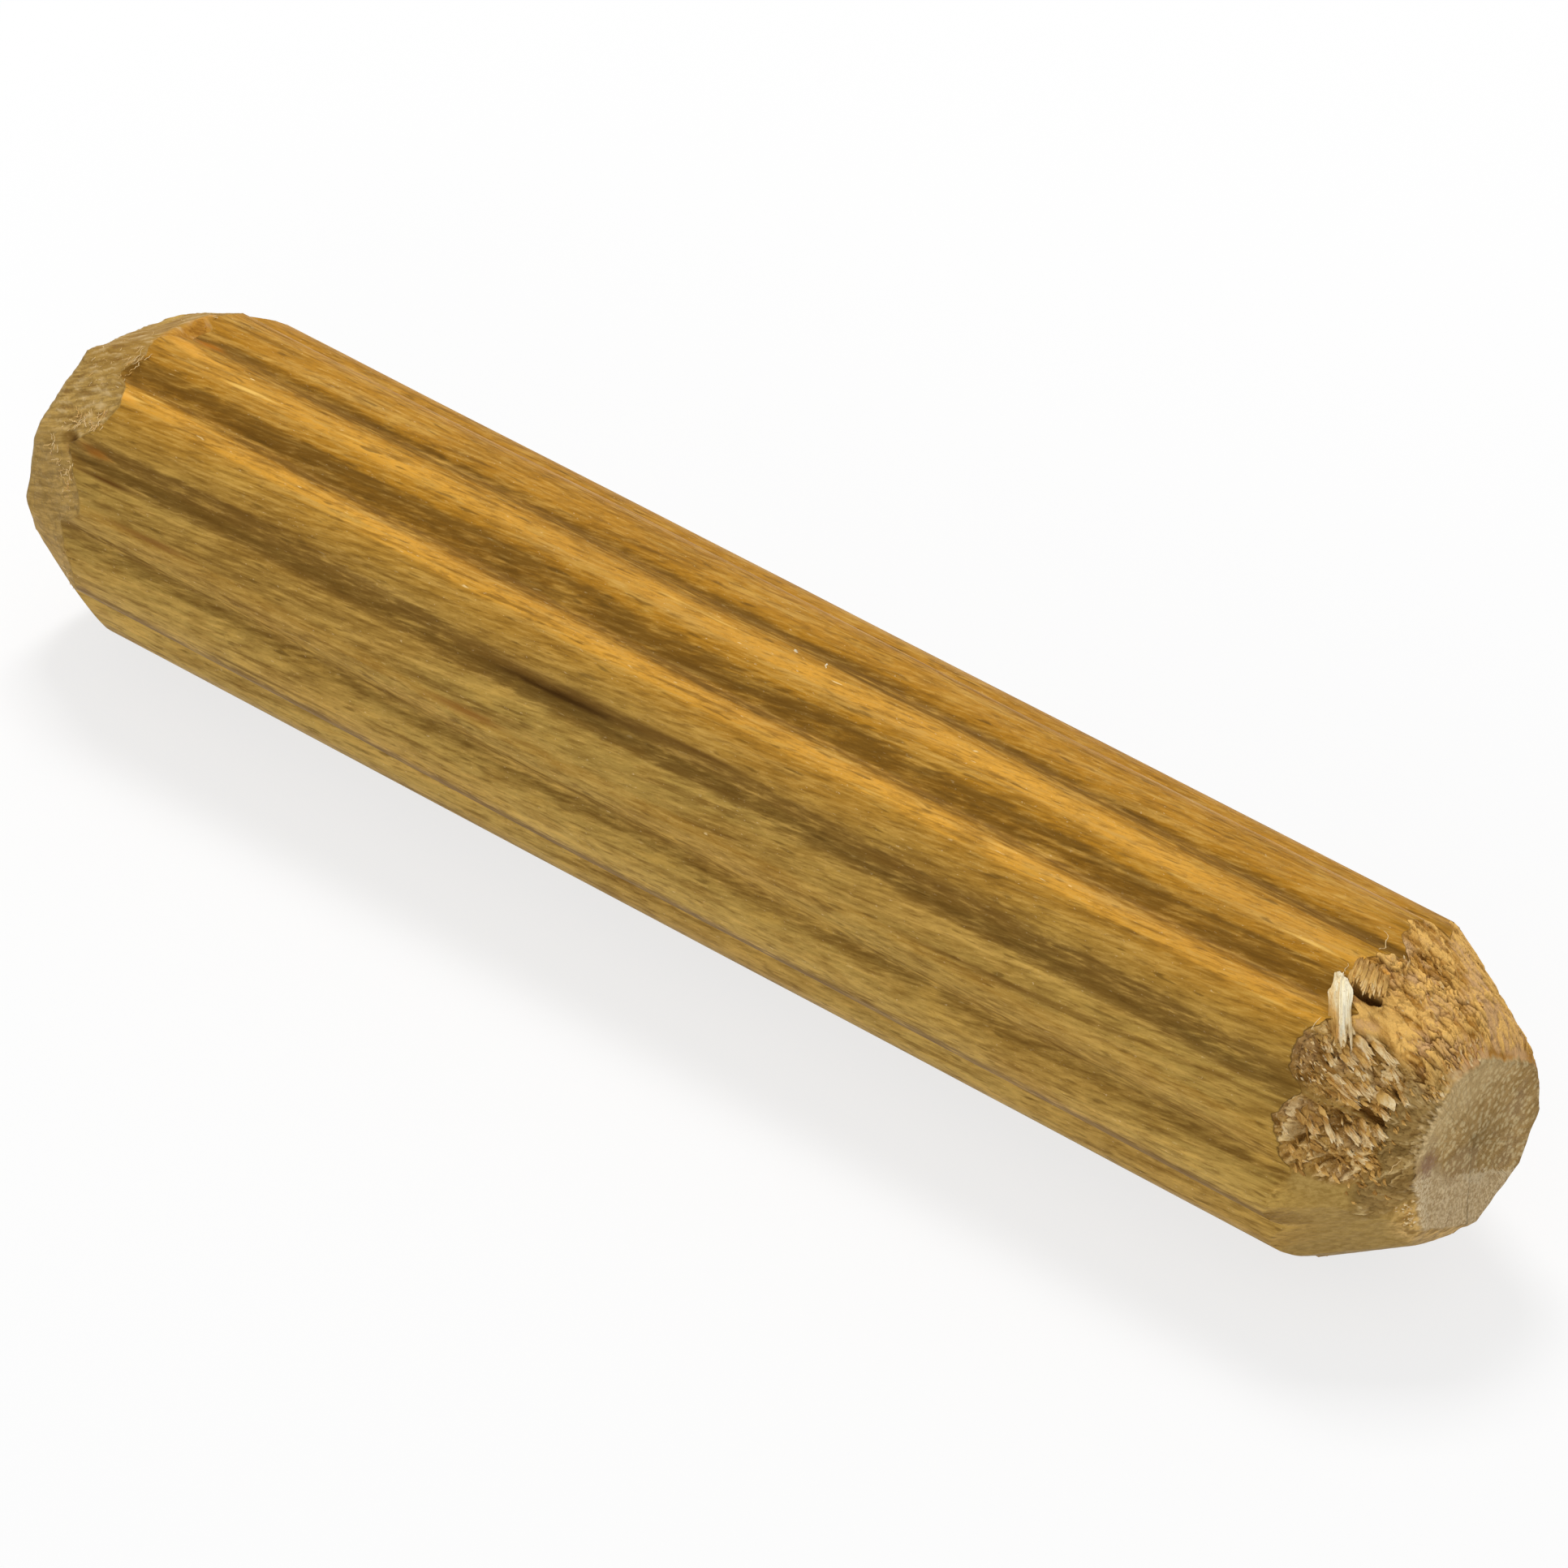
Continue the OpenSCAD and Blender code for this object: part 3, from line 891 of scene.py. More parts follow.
class DOWEL_OT_flakes(bpy.types.Operator):
    """Model the flakes of torn grain on the right chamfer"""

    bl_idname = "dowel.flakes"
    bl_label = "Flakes"

    def execute(self, context):
        tree = pin_surface()
        blade = make_blade("right_flake", 12, *FLAKE, 0.30, 0.45)
        slab = make_blade("right_slab", 32, *SLAB, 0.25)
        values = points(slab)
        x, y, z = values.T
        combed = ripple(y * 6, x * 1.2, 51.0) + 0.5 * ripple(y * 15, x * 2, 53.0)
        z += 0.6 * smooth(0.0, 0.1, z) * combed
        x += 0.55 * ripple(y * 8, y * 0, 55.0) * smooth(0.45, 1.0, x)
        y += 0.10 * np.sign(y) * ripple(x * 6, np.sign(y), 57.0)
        set_points(slab, values)

        laid = []
        for row, (x, side, tip_x, tip_side, width, thick, lift, tone) in enumerate(RIGHT_FLAKES):
            root, tip, normal = seats(tree, x, side, tip_x, tip_side)
            root = root - normal * thick * 0.25 * MM
            tip = root + (tip - root) * 0.88
            size = (1.30 * width, 1.15 * thick)
            laid.append(lay(slab, root, tip, normal, *size, lift, 0.2 + 1.1 * tone, row, loose=0.7))

        chance = random.Random(LIP_SEED)
        for row in range(LIP_FIBRES):
            share = row / (LIP_FIBRES - 1)
            place = (start + span * share for start, span in zip(LIP_START, LIP_SPAN))
            x, side, tip_x, tip_side = place
            root, tip, normal = seats(tree, x, side + chance.uniform(-0.6, 0.6), tip_x, tip_side)
            reach = chance.uniform(0.58, 0.76) * (1.0 - 0.10 * share)
            root = root - normal * 0.04 * MM
            tip = root + (tip - root).normalized() * reach * MM
            tip = tip + normal * (0.13 + 0.05 * (row % 2)) * MM
            size = chance.uniform(0.09, 0.14), chance.uniform(0.09, 0.13)
            tone = chance.uniform(0.35, 0.62)
            laid.append(lay(blade, root, tip, normal, *size, 0.0, tone, row, loose=0.6))

        chance = random.Random(FLAKE_SEED)
        for count, x0, x1, side0, side1, slant, longest, tone0, tone1 in SMALL_FLAKES:
            for _ in range(count):
                x = chance.uniform(x0, x1)
                side = chance.uniform(side0, side1)
                turn = math.radians(slant + chance.gauss(0, 14))
                run = longest * chance.uniform(0.45, 1.0)
                tip_x = x + run * math.cos(turn)
                if tip_x > LAST_TIP:
                    continue
                tip_side = side + math.degrees(run * math.sin(turn) / FLAKE_ARC)
                root, tip, normal = seats(tree, x, side, tip_x, tip_side)
                size = chance.uniform(0.20, 0.50) * run, chance.uniform(0.05, 0.09)
                lift = chance.uniform(0, 9)
                tone = chance.uniform(tone0, tone1)
                root = root - normal * 0.025 * MM
                laid.append(lay(blade, root, tip, normal, *size, lift, tone, chance.uniform(0, 50)))
        gather(laid, "right_flakes", blade, slab)
        return {"FINISHED"}


class DOWEL_OT_splinter(bpy.types.Operator):
    """Model the large pale splinter and the chips beside it"""

    bl_idname = "dowel.splinter"
    bl_label = "Splinter and chips"

    def execute(self, context):
        tree = pin_surface()
        blade = make_blade("splinter", 64, *SPLINTER, 1.0, 0.10)
        values = points(blade)
        x, y, z = values.T
        combed = ripple(y * 7, x * 1.6, 81.0) + 0.5 * ripple(y * 16, x * 3, 85.0)
        z += 0.55 * combed * smooth(0.0, 0.1, z)
        x += 0.34 * ripple(y * 9, x * 0.5, 83.0) * (1 - smooth(0.0, 0.4, x))
        x += (0.30 * y + 0.12 * combed) * smooth(0.75, 1.0, x)
        y += 0.08 * ripple(x * 2.5, x * 0, 87.0) + 0.05 * np.sign(y) * combed
        set_points(blade, values)
        root, tip, normal = seats(tree, 17.97, -40.2, 17.18, -21.4)
        root = root + normal * 0.08 * MM
        tip = tip + normal * 0.06 * MM
        splinter = lay(blade, root, tip, normal, 0.52, 0.18, 0.0, 1.0, 3.0, twist=-0.2, loose=0.4)
        left_edge = smooth(-0.02, 0.26, y + 0.10 * combed) * (0.85 - 0.4 * smooth(0.3, 0.6, x))
        tone = 1.15 + 0.5 * combed + 0.35 * smooth(0.05, 0.40, x) - left_edge
        mark(splinter, "tone", np.clip(tone, 0.35, 1.6))

        chip = make_blade("chip", 12, *CHIP, 0.2, 0.2)
        laid = [splinter]
        for x, side, tip_x, tip_side, width, thick, tone in RIGHT_CHIPS:
            laid.append(lay(chip, *seats(tree, x, side, tip_x, tip_side), width, thick, 8, tone, x))
        gather(laid, "right_splinter", blade, chip)
        return {"FINISHED"}


class DOWEL_OT_fibres(bpy.types.Operator):
    """Model the loose fibres: a fringe on the left end, a few on the right end, and specks"""

    bl_idname = "dowel.fibres"
    bl_label = "Fibres"

    def execute(self, context):
        tree = pin_surface()
        fibre = make_bar("fibre", 4, 9)
        close_up()
        chance = random.Random(FRINGE_SEED)
        fringe = []
        for count, x0, x1, side0, side1, longest in LEFT_FRINGE:
            for _ in range(count):
                x = -chance.uniform(x0, x1)
                root, normal = seat(tree, x, chance.uniform(side0, side1))
                around = Vector((1, 0, 0)).cross(normal).normalized()
                slope = around.cross(normal).normalized()
                turn = chance.uniform(0, 2 * math.pi)
                run = around * math.cos(turn) + slope * math.sin(turn) + normal * chance.uniform(0, 0.5)
                long = longest * chance.uniform(0.4, 1) * MM
                curl = chance.uniform(-0.3, 0.3)
                tone, seed = chance.uniform(0.60, 1.05), chance.uniform(0, 99)
                root = root - normal * 0.01 * MM
                size = long, FRINGE_THICKNESS, curl
                fringe.append(lay_fibre(fibre, root, run, normal, *size, tone, seed))
        gather(fringe, "left_fringe")

        loose = []
        for x, side, tip_x, tip_side, thick, curl, tone in LOOSE_FIBRES:
            root, tip, normal = seats(tree, x, side, tip_x, tip_side)
            size = (tip - root).length, thick, curl
            loose.append(lay_fibre(fibre, root, tip - root, normal, *size, tone, x))
        gather(loose, "loose_fibres", fibre)
        return {"FINISHED"}


# Finishes ------------------------------------------------------------------------------------


class Look:
    """A material, built up one node at a time. Places on the wood are in millimetres."""

    def __init__(self, name):
        self.material = bpy.data.materials.new(name)
        self.material.use_nodes = True
        self.tree = self.material.node_tree
        self.shader = self.tree.nodes["Principled BSDF"]

    def add(self, kind, inputs=None, **settings):
        node = self.tree.nodes.new(kind)
        for name, value in settings.items():
            setattr(node, name, value)
        for key, value in (inputs or {}).items():
            self.feed(node.inputs[key], value)
        return node

    def feed(self, socket, value):
        if isinstance(value, bpy.types.NodeSocket):
            self.tree.links.new(value, socket)
        else:
            if socket.type == "RGBA" and len(value) == 3:
                value = (*value, 1)
            socket.default_value = value

    def mapped(self, vector, location, turn, scale):
        """A vector counted from a location, turned by degrees, in units of a scale."""
        turn = [math.radians(a) for a in turn]
        inputs = {"Vector": vector, "Location": location, "Rotation": turn, "Scale": scale}
        return self.add("ShaderNodeMapping", inputs, vector_type="TEXTURE").outputs[0]

    def place(self, waves=(1, 1, 1), turn=(0, 0, 0), shift=(0, 0, 0)):
        """Object coordinates, turned by degrees and counted in waves a millimetre."""
        where = self.tree.nodes.get("Texture Coordinate") or self.add("ShaderNodeTexCoord")
        shift = [s * MM for s in shift]
        return self.mapped(where.outputs["Object"], shift, turn, [MM / w for w in waves])

    def clouds(self, vector, detail=2.0, roughness=0.5, distortion=0.0):
        inputs = {"Vector": vector, "Scale": 1.0, "Detail": detail}
        inputs.update({"Roughness": roughness, "Distortion": distortion})
        return self.add("ShaderNodeTexNoise", inputs).outputs["Fac"]

    def wisps(self, waves, turn=(0, 0, 0), shift=(0, 0, 0), detail=2.0, roughness=0.6, distortion=0.0):
        """Noise with its waves a millimetre along the pin and across it."""
        return self.clouds(self.place((*waves, waves[-1])[:3], turn, shift), detail, roughness, distortion)

    def grain(self, along, across, waves_along, waves_across, distortion):
        """Noise that follows the grain of torn or brushed wood."""
        place = {0: self.times(along, waves_along), 1: self.times(across, waves_across)}
        return self.clouds(self.add("ShaderNodeCombineXYZ", place).outputs[0], 4.0, 0.65, distortion)

    def level(self, value, low, high, to_low=0.0, to_high=1.0):
        return self.add(
            "ShaderNodeMapRange",
            {"Value": value, "From Min": low, "From Max": high, "To Min": to_low, "To Max": to_high},
            interpolation_type="SMOOTHSTEP",
        ).outputs[0]

    def sum(self, kind, first, second):
        return self.add("ShaderNodeMath", {0: first, 1: second}, operation=kind).outputs[0]

    def plus(self, first, second):
        return self.sum("ADD", first, second)

    def times(self, first, second):
        return self.sum("MULTIPLY", first, second)

    def most(self, first, *others):
        for other in others:
            first = self.sum("MAXIMUM", first, other)
        return first

    def nudged(self, value, *fields):
        """A value made uneven by noise. Each field comes with its strength."""
        for field, strength in fields:
            value = self.plus(value, self.times(self.sum("SUBTRACT", field, 0.5), strength))
        return value

    def paint(self, base, *layers):
        """Shades over a base. A layer is a field and its span or a share, a strength and a shade."""
        for field, *span, strength, shade in layers:
            share = self.level(field, *span, 0.0, strength) if span else self.times(field, strength)
            base = self.add("ShaderNodeMix", {0: share, 6: base, 7: shade}, data_type="RGBA").outputs[2]
        return base

    def painted(self, name):
        return self.add("ShaderNodeAttribute", attribute_name=name).outputs["Fac"]

    def vector(self, kind, first, second=(0, 0, 0)):
        return self.add("ShaderNodeVectorMath", {0: first, 1: second}, operation=kind).outputs["Value"]

    def finish(self, shade, roughness, specular, *bumps):
        """Connects the shader. Each bump is a height and its depth in mm."""
        normal = None
        for height, depth in bumps:
            inputs = {"Height": height, "Distance": depth * MM, "Strength": 1.0}
            if normal is not None:
                inputs["Normal"] = normal
            normal = self.add("ShaderNodeBump", inputs).outputs[0]
        finish = {"Base Color": shade, "Roughness": roughness, "Specular IOR Level": specular}
        for name, value in {**finish, "Normal": normal}.items():
            self.feed(self.shader.inputs[name], value)
        return self.material


# Marks on the shank: middle x, side in degrees, half length and half width in mm, strength, colour
SHANK_MARKS = (
    (-3.0, -57.0, 3.8, 0.26, 0.55, (0.10, 0.040, 0.006)),
    (-3.6, -59.0, 2.6, 0.13, 0.90, (0.045, 0.017, 0.002)),
    (0.5, -54.0, 1.6, 0.07, 0.60, (0.10, 0.040, 0.006)),
    (-17.7, -59.0, 0.55, 0.14, 0.85, (0.36, 0.125, 0.010)),
    # Painted highlights where the lands start at the left end
    (-17.6, -37.5, 0.45, 0.16, 0.70, (0.85, 0.40, 0.060)),
    (-17.3, -10.5, 0.60, 0.16, 0.75, (0.84, 0.40, 0.050)),
    (-16.8, -12.5, 0.80, 0.10, 0.60, (0.85, 0.43, 0.070)),
    # Painted shadow in the notch beside them
    (-17.0, -3.5, 0.50, 0.24, 0.95, (0.44, 0.150, 0.010)),
    (-5.7, -77.5, 1.4, 0.14, 0.70, (0.24, 0.085, 0.012)),
    (-17.0, -65.5, 1.2, 0.07, 0.90, (0.09, 0.030, 0.004)),
    (-15.2, -76.0, 1.4, 0.10, 0.70, (0.18, 0.06, 0.010)),
    (-12.0, -106.0, 3.2, 0.06, 0.70, (0.12, 0.055, 0.008)),
    (2.0, -113.0, 4.0, 0.05, 0.60, (0.12, 0.055, 0.008)),
    (9.5, -74.0, 3.0, 0.07, 0.55, (0.14, 0.06, 0.008)),
)


def wood_look(colours):
    """Straight-grained wood, warmer above and greyer below, with torn and sawn ends."""
    look = Look("dowel wood")
    lean, straight = (0, -3.0, 2.6), (0, 0, 0)
    broad = look.wisps((0.12, 0.5), lean, roughness=0.5)
    mottle = look.wisps((0.7, 2.2), lean, (7, 3, 1), 4.0)
    streak = look.wisps((0.14, 4.6), lean, (3, 9, 5), 3.0)
    fine = look.wisps((1.5, 11.0), (0, -7, 6), (2, 5, 9), 4.0)
    hair = look.wisps((1.1, 14.0), lean, (5, 8, 3), 3.0)
    dash = look.wisps((1.3, 8.0), lean, (1, 6, 2), 1.0, 0.5)
    glint_thread = look.wisps((0.35, 6.5), lean, (9, 1, 4), 0.0)
    glint_speck = look.wisps((3.5, 16.0), lean, (2, 7, 5), 0.0)
    grit = look.wisps((8.0, 20.0), straight, (4, 4, 4))
    speck = look.wisps((12.0, 15.0), straight, (6, 2, 8))
    blotch = look.wisps((0.9, 1.1), straight, (8, 5, 1), roughness=0.5)
    spot = look.wisps((4.0, 6.0), straight, (1, 9, 4), 1.0, 0.5)
    planed = look.wisps((1.4, 9.0), straight, (2, 2, 6), 4.0, 0.65, 0.4)
    ray = look.wisps((1.0, 1.3, 6.0), (35, 0, 0), straight, 3.0)
    ridge = look.wisps((6.0, 6.5, 1.7), (-25, 0, 0), straight, 3.0, 0.6, 0.4)
    x, y, z = look.add("ShaderNodeSeparateXYZ", {"Vector": look.place()}).outputs
    up = look.plus(look.times(y, 0.57), look.times(z, 0.82))

    # The shank: its own colour, dirt and painted shade in the flutes, painted highlights on the lands,
    # grain, and bright threads and specks painted as glints
    uneven = look.nudged(1.0, (streak, 2.0), (fine, 2.2), (mottle, 1.6))
    # Painted shade, with some dirt, darkens the flutes
    flute_dirt_and_shade = look.level(look.times(look.painted("flute"), uneven), 0.02, 1.05)
    # Painted highlight along the lands
    gleam = look.level(look.times(look.painted("gleam"), uneven), 0.10, 0.95)
    dirt_and_shade = (flute_dirt_and_shade, 0.45, (0.145, 0.073, 0.013))
    glint_share = look.level(gleam, 0.0, 0.5, 0.15, 0.75)
    wood = look.paint(
        colours.olive,
        (look.plus(up, look.times(broad, 1.2)), -0.2, 2.4, 1.0, colours.golden),
        (up, -2.2, -3.6, 0.8, (0.56, 0.37, 0.10)),
        dirt_and_shade,
        (gleam, 0.85, (0.80, 0.395, 0.048)),
        (broad, 0.42, 0.66, 0.30, (0.34, 0.155, 0.020)),
        (mottle, 0.48, 0.66, 0.42, (0.26, 0.130, 0.018)),
        (mottle, 0.46, 0.32, 0.32, (0.64, 0.38, 0.075)),
        (streak, 0.52, 0.70, 0.55, colours.dark),
        (streak, 0.47, 0.30, 0.38, colours.light),
        (fine, 0.48, 0.70, 0.46, colours.dark),
        (fine, 0.50, 0.30, 0.34, colours.light),
        (hair, 0.52, 0.70, 0.34, colours.dark),
        (hair, 0.46, 0.30, 0.30, colours.light),
        (dash, 0.64, 0.76, 0.55, (0.12, 0.060, 0.010)),
        (grit, 0.55, 0.80, 0.30, colours.dark),
        (grit, 0.34, 0.22, 0.45, colours.pale),
        dirt_and_shade,
        # Bright threads and specks painted as glints, only within the painted highlight
        (look.level(glint_thread, 0.74, 0.90), glint_share, (0.95, 0.60, 0.15)),
        (look.level(glint_speck, 0.80, 0.90), glint_share, (0.95, 0.72, 0.34)),
    )
    round_pin = look.times(look.sum("ARCTAN2", y, z), SHANK_ARC)
    unrolled = look.add("ShaderNodeCombineXYZ", {0: x, 1: round_pin}).outputs[0]
    for at, side, long, wide, strength, shade in SHANK_MARKS:
        middle = (at, math.radians(side) * SHANK_ARC, 0)
        place = look.mapped(unrolled, middle, (0, 0, 2), (long, wide, 1))
        away = look.nudged(look.vector("LENGTH", place), (fine, 1.2))
        wood = look.paint(wood, (away, 1.25, 0.0, strength, shade))

    # Scaly, torn, broken, brushed and planed wood
    along, across = look.painted("along"), look.painted("across")
    knit = look.grain(along, across, 2.6, 9.0, 0.5)
    combed = look.grain(along, across, 0.9, 11.0, 0.6)
    plate = look.nudged(look.painted("plate"), (knit, 0.9))
    scale_wood = look.paint(
        (0.46, 0.215, 0.038),
        (plate, 0.10, 0.75, 1.0, (0.92, 0.54, 0.150)),
        (look.level(blotch, 0.44, 0.56), look.level(plate, 0.8, 0.3, 0.0, 0.75), (0.78, 0.48, 0.230)),
        (speck, 0.60, 0.80, 0.5, colours.pale),
    )
    torn_wood = look.paint(
        (0.26, 0.130, 0.026),
        (plate, 0.10, 0.55, 1.0, (0.50, 0.290, 0.080)),
        (plate, 0.55, 0.95, 1.0, (0.80, 0.56, 0.24)),
        (blotch, 0.48, 0.60, 0.55, (0.40, 0.235, 0.10)),
        (speck, 0.55, 0.75, 0.5, colours.pale),
    )
    broken_wood = look.paint(
        (0.16, 0.095, 0.028),
        (plate, 0.10, 0.60, 1.0, (0.33, 0.210, 0.070)),
        (plate, 0.60, 1.0, 1.0, (0.58, 0.43, 0.20)),
        (up, 0.2, 1.4, 0.6, (0.56, 0.37, 0.16)),
    )
    yellow = look.times(look.level(x, -19.2, -19.6), look.level(up, 2.5, 3.1))
    brushed_wood = look.paint(
        (0.27, 0.158, 0.036),
        (combed, 0.32, 0.66, 1.0, (0.53, 0.330, 0.088)),
        (spot, 0.52, 0.68, 0.45, (0.20, 0.115, 0.025)),
        (up, 0.9, 2.0, 0.75, (0.36, 0.195, 0.034)),
        (yellow, 0.7, (0.60, 0.36, 0.045)),
        (speck, 0.58, 0.8, 0.45, (0.66, 0.50, 0.24)),
    )
    smooth_cut = look.paint((0.295, 0.182, 0.046), (planed, 0.32, 0.68, 1.0, (0.43, 0.282, 0.084)))
    fresh_wood = look.paint((0.86, 0.40, 0.045), (fine, 0.35, 0.65, 1.0, (0.55, 0.21, 0.016)))
    rim_wood = look.paint(
        (0.30, 0.175, 0.046),
        (ridge, 0.34, 0.66, 1.0, (0.68, 0.440, 0.150)),
        (look.plus(y, z), 0.7, 1.8, 1.0, scale_wood),
    )

    # End grain: rays one way, pale pores close together, and a paler low facet on the right
    pore = look.add(
        "ShaderNodeTexVoronoi",
        {"Vector": look.place((4.0, 6.2, 7.4), (35, 0, 0)), "Scale": 1.0, "Randomness": 0.9},
    ).outputs["Distance"]
    dot = look.level(look.plus(pore, look.times(speck, 0.9)), 1.05, 0.60)
    low_face = look.nudged(look.plus(z, look.times(y, 0.5)), (blotch, 1.3), (speck, 0.7))
    low_face = look.plus(low_face, look.level(x, 0.0, -1.0, 0.0, 9.0))
    low_wood = look.paint((0.44, 0.305, 0.155), (speck, 0.36, 0.66, 1.0, (0.74, 0.58, 0.35)))
    border = look.times(look.level(low_face, -0.60, -0.74), look.level(low_face, -0.95, -0.80))
    crumbs = look.times(look.level(low_face, -0.70, -0.90), look.level(y, -1.25, -1.55))
    crumbs = look.times(crumbs, look.level(speck, 0.42, 0.58))
    border = look.most(look.times(border, look.level(y, -0.9, -0.2)), crumbs)
    stain = look.nudged(look.vector("DISTANCE", look.place(), (20, -1.54, 0.16)), (speck, 0.6))
    sawn_wood = look.paint(
        (0.325, 0.198, 0.066),
        (ray, 0.3, 0.7, 1.0, (0.48, 0.312, 0.125)),
        (blotch, 0.50, 0.62, 0.5, (0.33, 0.215, 0.110)),
        (dot, 0.75, (0.68, 0.53, 0.28)),
        (low_face, -0.58, -1.00, 0.80, low_wood),
        (border, 0.55, (0.74, 0.60, 0.38)),
        (look.plus(z, look.times(y, -0.4)), 0.6, 1.5, 0.45, (0.62, 0.46, 0.23)),
        (stain, 0.42, 0.10, 0.6, (0.27, 0.145, 0.105)),
    )

    names = ("torn", "scaly", "brushed", "broken", "sawn")
    torn, scaly, brushed, broken, sawn = (look.painted(name) for name in names)
    shade = look.paint(
        wood,
        (look.painted("chamfer"), 1.0, smooth_cut),
        (scaly, 1.0, scale_wood),
        (torn, 1.0, torn_wood),
        (brushed, 0.9, brushed_wood),
        (look.painted("fresh"), 1.0, fresh_wood),
        (broken, 1.0, broken_wood),
        (look.painted("rim"), look.level(broken, 0.2, 0.8, 1.0, 0.15), rim_wood),
        (sawn, 1.0, sawn_wood),
        # Pale fibre, with painted highlight on crests; then painted shade in cracks, pockets, the split and
        # the notch, and darker brushed grooves
        (look.painted("pale"), 0.75, colours.pale),
        (look.painted("dark"), 0.85, (0.14, 0.055, 0.008)),
    )
    rough = look.most(torn, sawn, scaly, look.times(brushed, 0.35))
    roughness = look.plus(look.level(streak, 0.3, 0.7, 0.44, 0.56), look.times(rough, 0.35))
    look.feed(look.shader.inputs["Specular Tint"], (1.0, 0.52, 0.14))
    return look.finish(
        shade,
        roughness,
        0.08,
        (fine, 0.007),
        (look.plus(hair, grit), 0.004),
        (look.times(look.plus(knit, speck), rough), 0.05),
        (look.times(dot, sawn), 0.015),
    )


def fibre_look():
    """Fresh torn fibre, from orange brown to cream by each flake's own tone."""
    name = "dowel fibre"
    if name in bpy.data.materials:
        return bpy.data.materials[name]
    look = Look(name)
    strand = look.wisps((2.5, 16.0), (0, 30, -30), detail=3.0, distortion=0.3)
    speck = look.wisps((11.0, 16.0))
    tone = look.nudged(look.painted("tone"), (strand, 0.9))
    shade = look.paint(
        (0.33, 0.160, 0.026),
        (tone, 0.0, 0.6, 1.0, (0.68, 0.40, 0.105)),
        (tone, 0.55, 1.05, 1.0, (0.84, 0.64, 0.33)),
        (tone, 1.00, 1.40, 1.0, (0.97, 0.88, 0.64)),
        (speck, 0.55, 0.78, 0.5, (0.46, 0.24, 0.06)),
    )
    return look.finish(shade, look.level(speck, 0.2, 0.8, 0.55, 0.75), 0.3, (strand, 0.03))


def floor_look():
    """A pale floor that keeps the pin's shadow and otherwise shows white."""
    look = Look("pale floor")
    look.feed(look.shader.inputs["Base Color"], FLOOR_COLOUR)
    look.feed(look.shader.inputs["Roughness"], 0.9)
    rays = look.add("ShaderNodeLightPath").outputs
    seen = look.most(rays["Is Camera Ray"], rays["Is Glossy Ray"], rays["Is Transmission Ray"])
    glow = look.add("ShaderNodeEmission", {"Strength": 1.0}).outputs[0]
    share = look.times(seen, FLOOR_GLOW)
    mix = look.add("ShaderNodeMixShader", {0: share, 1: look.shader.outputs[0], 2: glow})
    look.feed(look.tree.nodes["Material Output"].inputs["Surface"], mix.outputs[0])
    return look.material


# Stage ---------------------------------------------------------------------------------------

FLOOR_SIZE = 4
FLOOR_COLOUR = (0.88, 0.88, 0.88)
# Share of the floor that the camera sees as plain white
FLOOR_GLOW = 0.75
SENSOR_WIDTH = 36
LAMP_DISTANCE = 0.3
WORLD_LIGHT = 0.44
# Area lights that face the pin: name, side and height in degrees, size and power
LAMPS = (
    ("key light", 228, 61, (0.10, 0.10), 0.60),
    ("fill light", 32, 14, (0.2, 0.1), 0.27),
)
# Point that the camera looks at, in mm
AIM = (0.203, 0.083, -0.104)


class StageSize(bpy.types.PropertyGroup):
    azimuth: angle("Azimuth", "Side that the camera stands on, from the front towards +X", 39.935)
    elevation: angle("Elevation", "Height of the camera above the horizon", 32.762)
    roll: angle("Roll", "Turn of the camera about its own line of sight", 3.162)
    distance: length("Distance", "Distance from the camera to the pin", 353.79)
    lens: length("Lens", "Focal length", 369.35)


def towards(side, height):
    """Direction of a side, from the front towards +X, and a height above the horizon."""
    flat = math.cos(height)
    return Vector((math.sin(side) * flat, -math.cos(side) * flat, math.sin(height)))


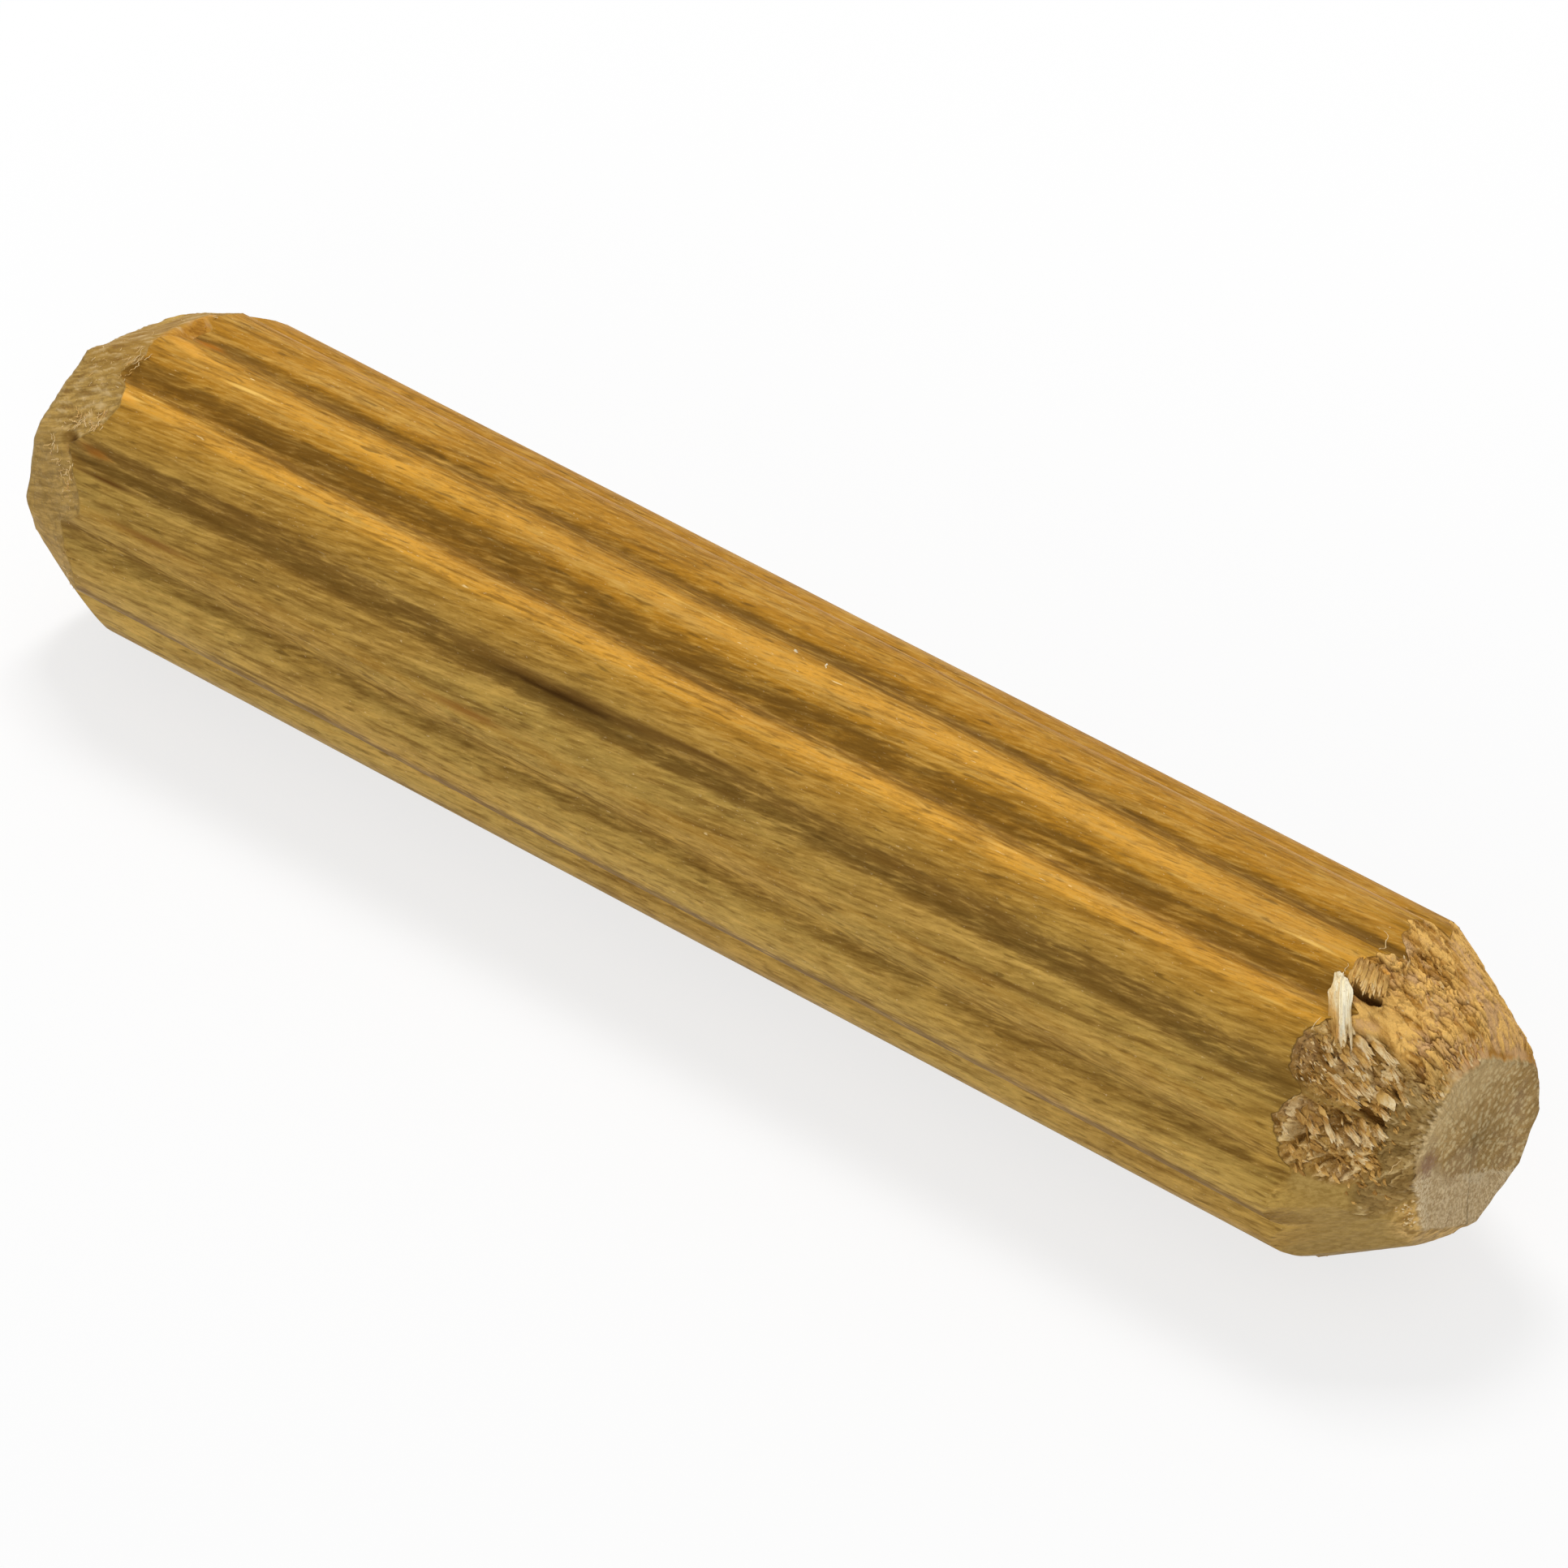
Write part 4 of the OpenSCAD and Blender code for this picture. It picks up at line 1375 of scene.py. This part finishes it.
class DOWEL_OT_stage(bpy.types.Operator):
    """Set up the floor, the lights and the camera"""

    bl_idname = "dowel.stage"
    bl_label = "Stage"

    def execute(self, context):
        scene = context.scene
        stage = scene.dowel_stage
        deselect()
        bpy.ops.mesh.primitive_plane_add(size=FLOOR_SIZE, location=(0, 0, FLOOR_Z))
        floor = context.object
        floor.name = "floor"
        bpy.ops.object.transform_apply(location=True)
        floor.data.materials.append(floor_look())

        scene.world = bpy.data.worlds.new("studio")
        scene.world.use_nodes = True
        background = scene.world.node_tree.nodes["Background"]
        background.inputs["Color"].default_value = (1, 1, 1, 1)
        background.inputs["Strength"].default_value = WORLD_LIGHT

        for name, side, height, size, power in LAMPS:
            data = bpy.data.lights.new(name, "AREA")
            data.shape = "RECTANGLE"
            data.size, data.size_y = size
            data.energy = power
            light = bpy.data.objects.new(name, data)
            scene.collection.objects.link(light)
            back = towards(math.radians(side), math.radians(height))
            light.location = LAMP_DISTANCE * back
            light.rotation_euler = back.to_track_quat("Z", "Y").to_euler()

        data = bpy.data.cameras.new("camera")
        data.lens = stage.lens / MM
        data.sensor_width = SENSOR_WIDTH
        camera = bpy.data.objects.new("camera", data)
        scene.collection.objects.link(camera)
        back = towards(stage.azimuth, stage.elevation)
        turn = back.to_track_quat("Z", "Y").to_matrix().to_4x4() @ Matrix.Rotation(stage.roll, 4, "Z")
        camera.matrix_world = Matrix.Translation(Vector(AIM) * MM + back * stage.distance) @ turn
        scene.camera = camera
        scene.view_settings.view_transform = "Standard"
        return {"FINISHED"}


class DOWEL_PT_panel(bpy.types.Panel):
    """Steps that make the dowel pin, in order"""

    bl_idname = "DOWEL_PT_panel"
    bl_label = "Dowel pin"
    bl_space_type = "VIEW_3D"
    bl_region_type = "UI"
    bl_category = "Dowel"

    def draw(self, context):
        for step in STEPS:
            self.layout.operator(step.bl_idname)


STEPS = (DOWEL_OT_pin, DOWEL_OT_flakes, DOWEL_OT_splinter, DOWEL_OT_fibres, DOWEL_OT_stage)
GROUPS = {
    "dowel_shank": ShankSize,
    "dowel_right": RightEndSize,
    "dowel_left": LeftEndSize,
    "dowel_colours": WoodColours,
    "dowel_stage": StageSize,
}


def register():
    for kind in (*GROUPS.values(), *STEPS, DOWEL_PT_panel):
        bpy.utils.register_class(kind)
    for name, group in GROUPS.items():
        setattr(bpy.types.Scene, name, PointerProperty(type=group))


def unregister():
    for name in GROUPS:
        delattr(bpy.types.Scene, name)
    for kind in (DOWEL_PT_panel, *STEPS, *GROUPS.values()):
        bpy.utils.unregister_class(kind)


def main():
    register()
    bpy.ops.dowel.pin()
    bpy.ops.dowel.flakes()
    bpy.ops.dowel.splinter()
    bpy.ops.dowel.fibres()
    bpy.ops.dowel.stage()


if __name__ == "__main__":
    main()
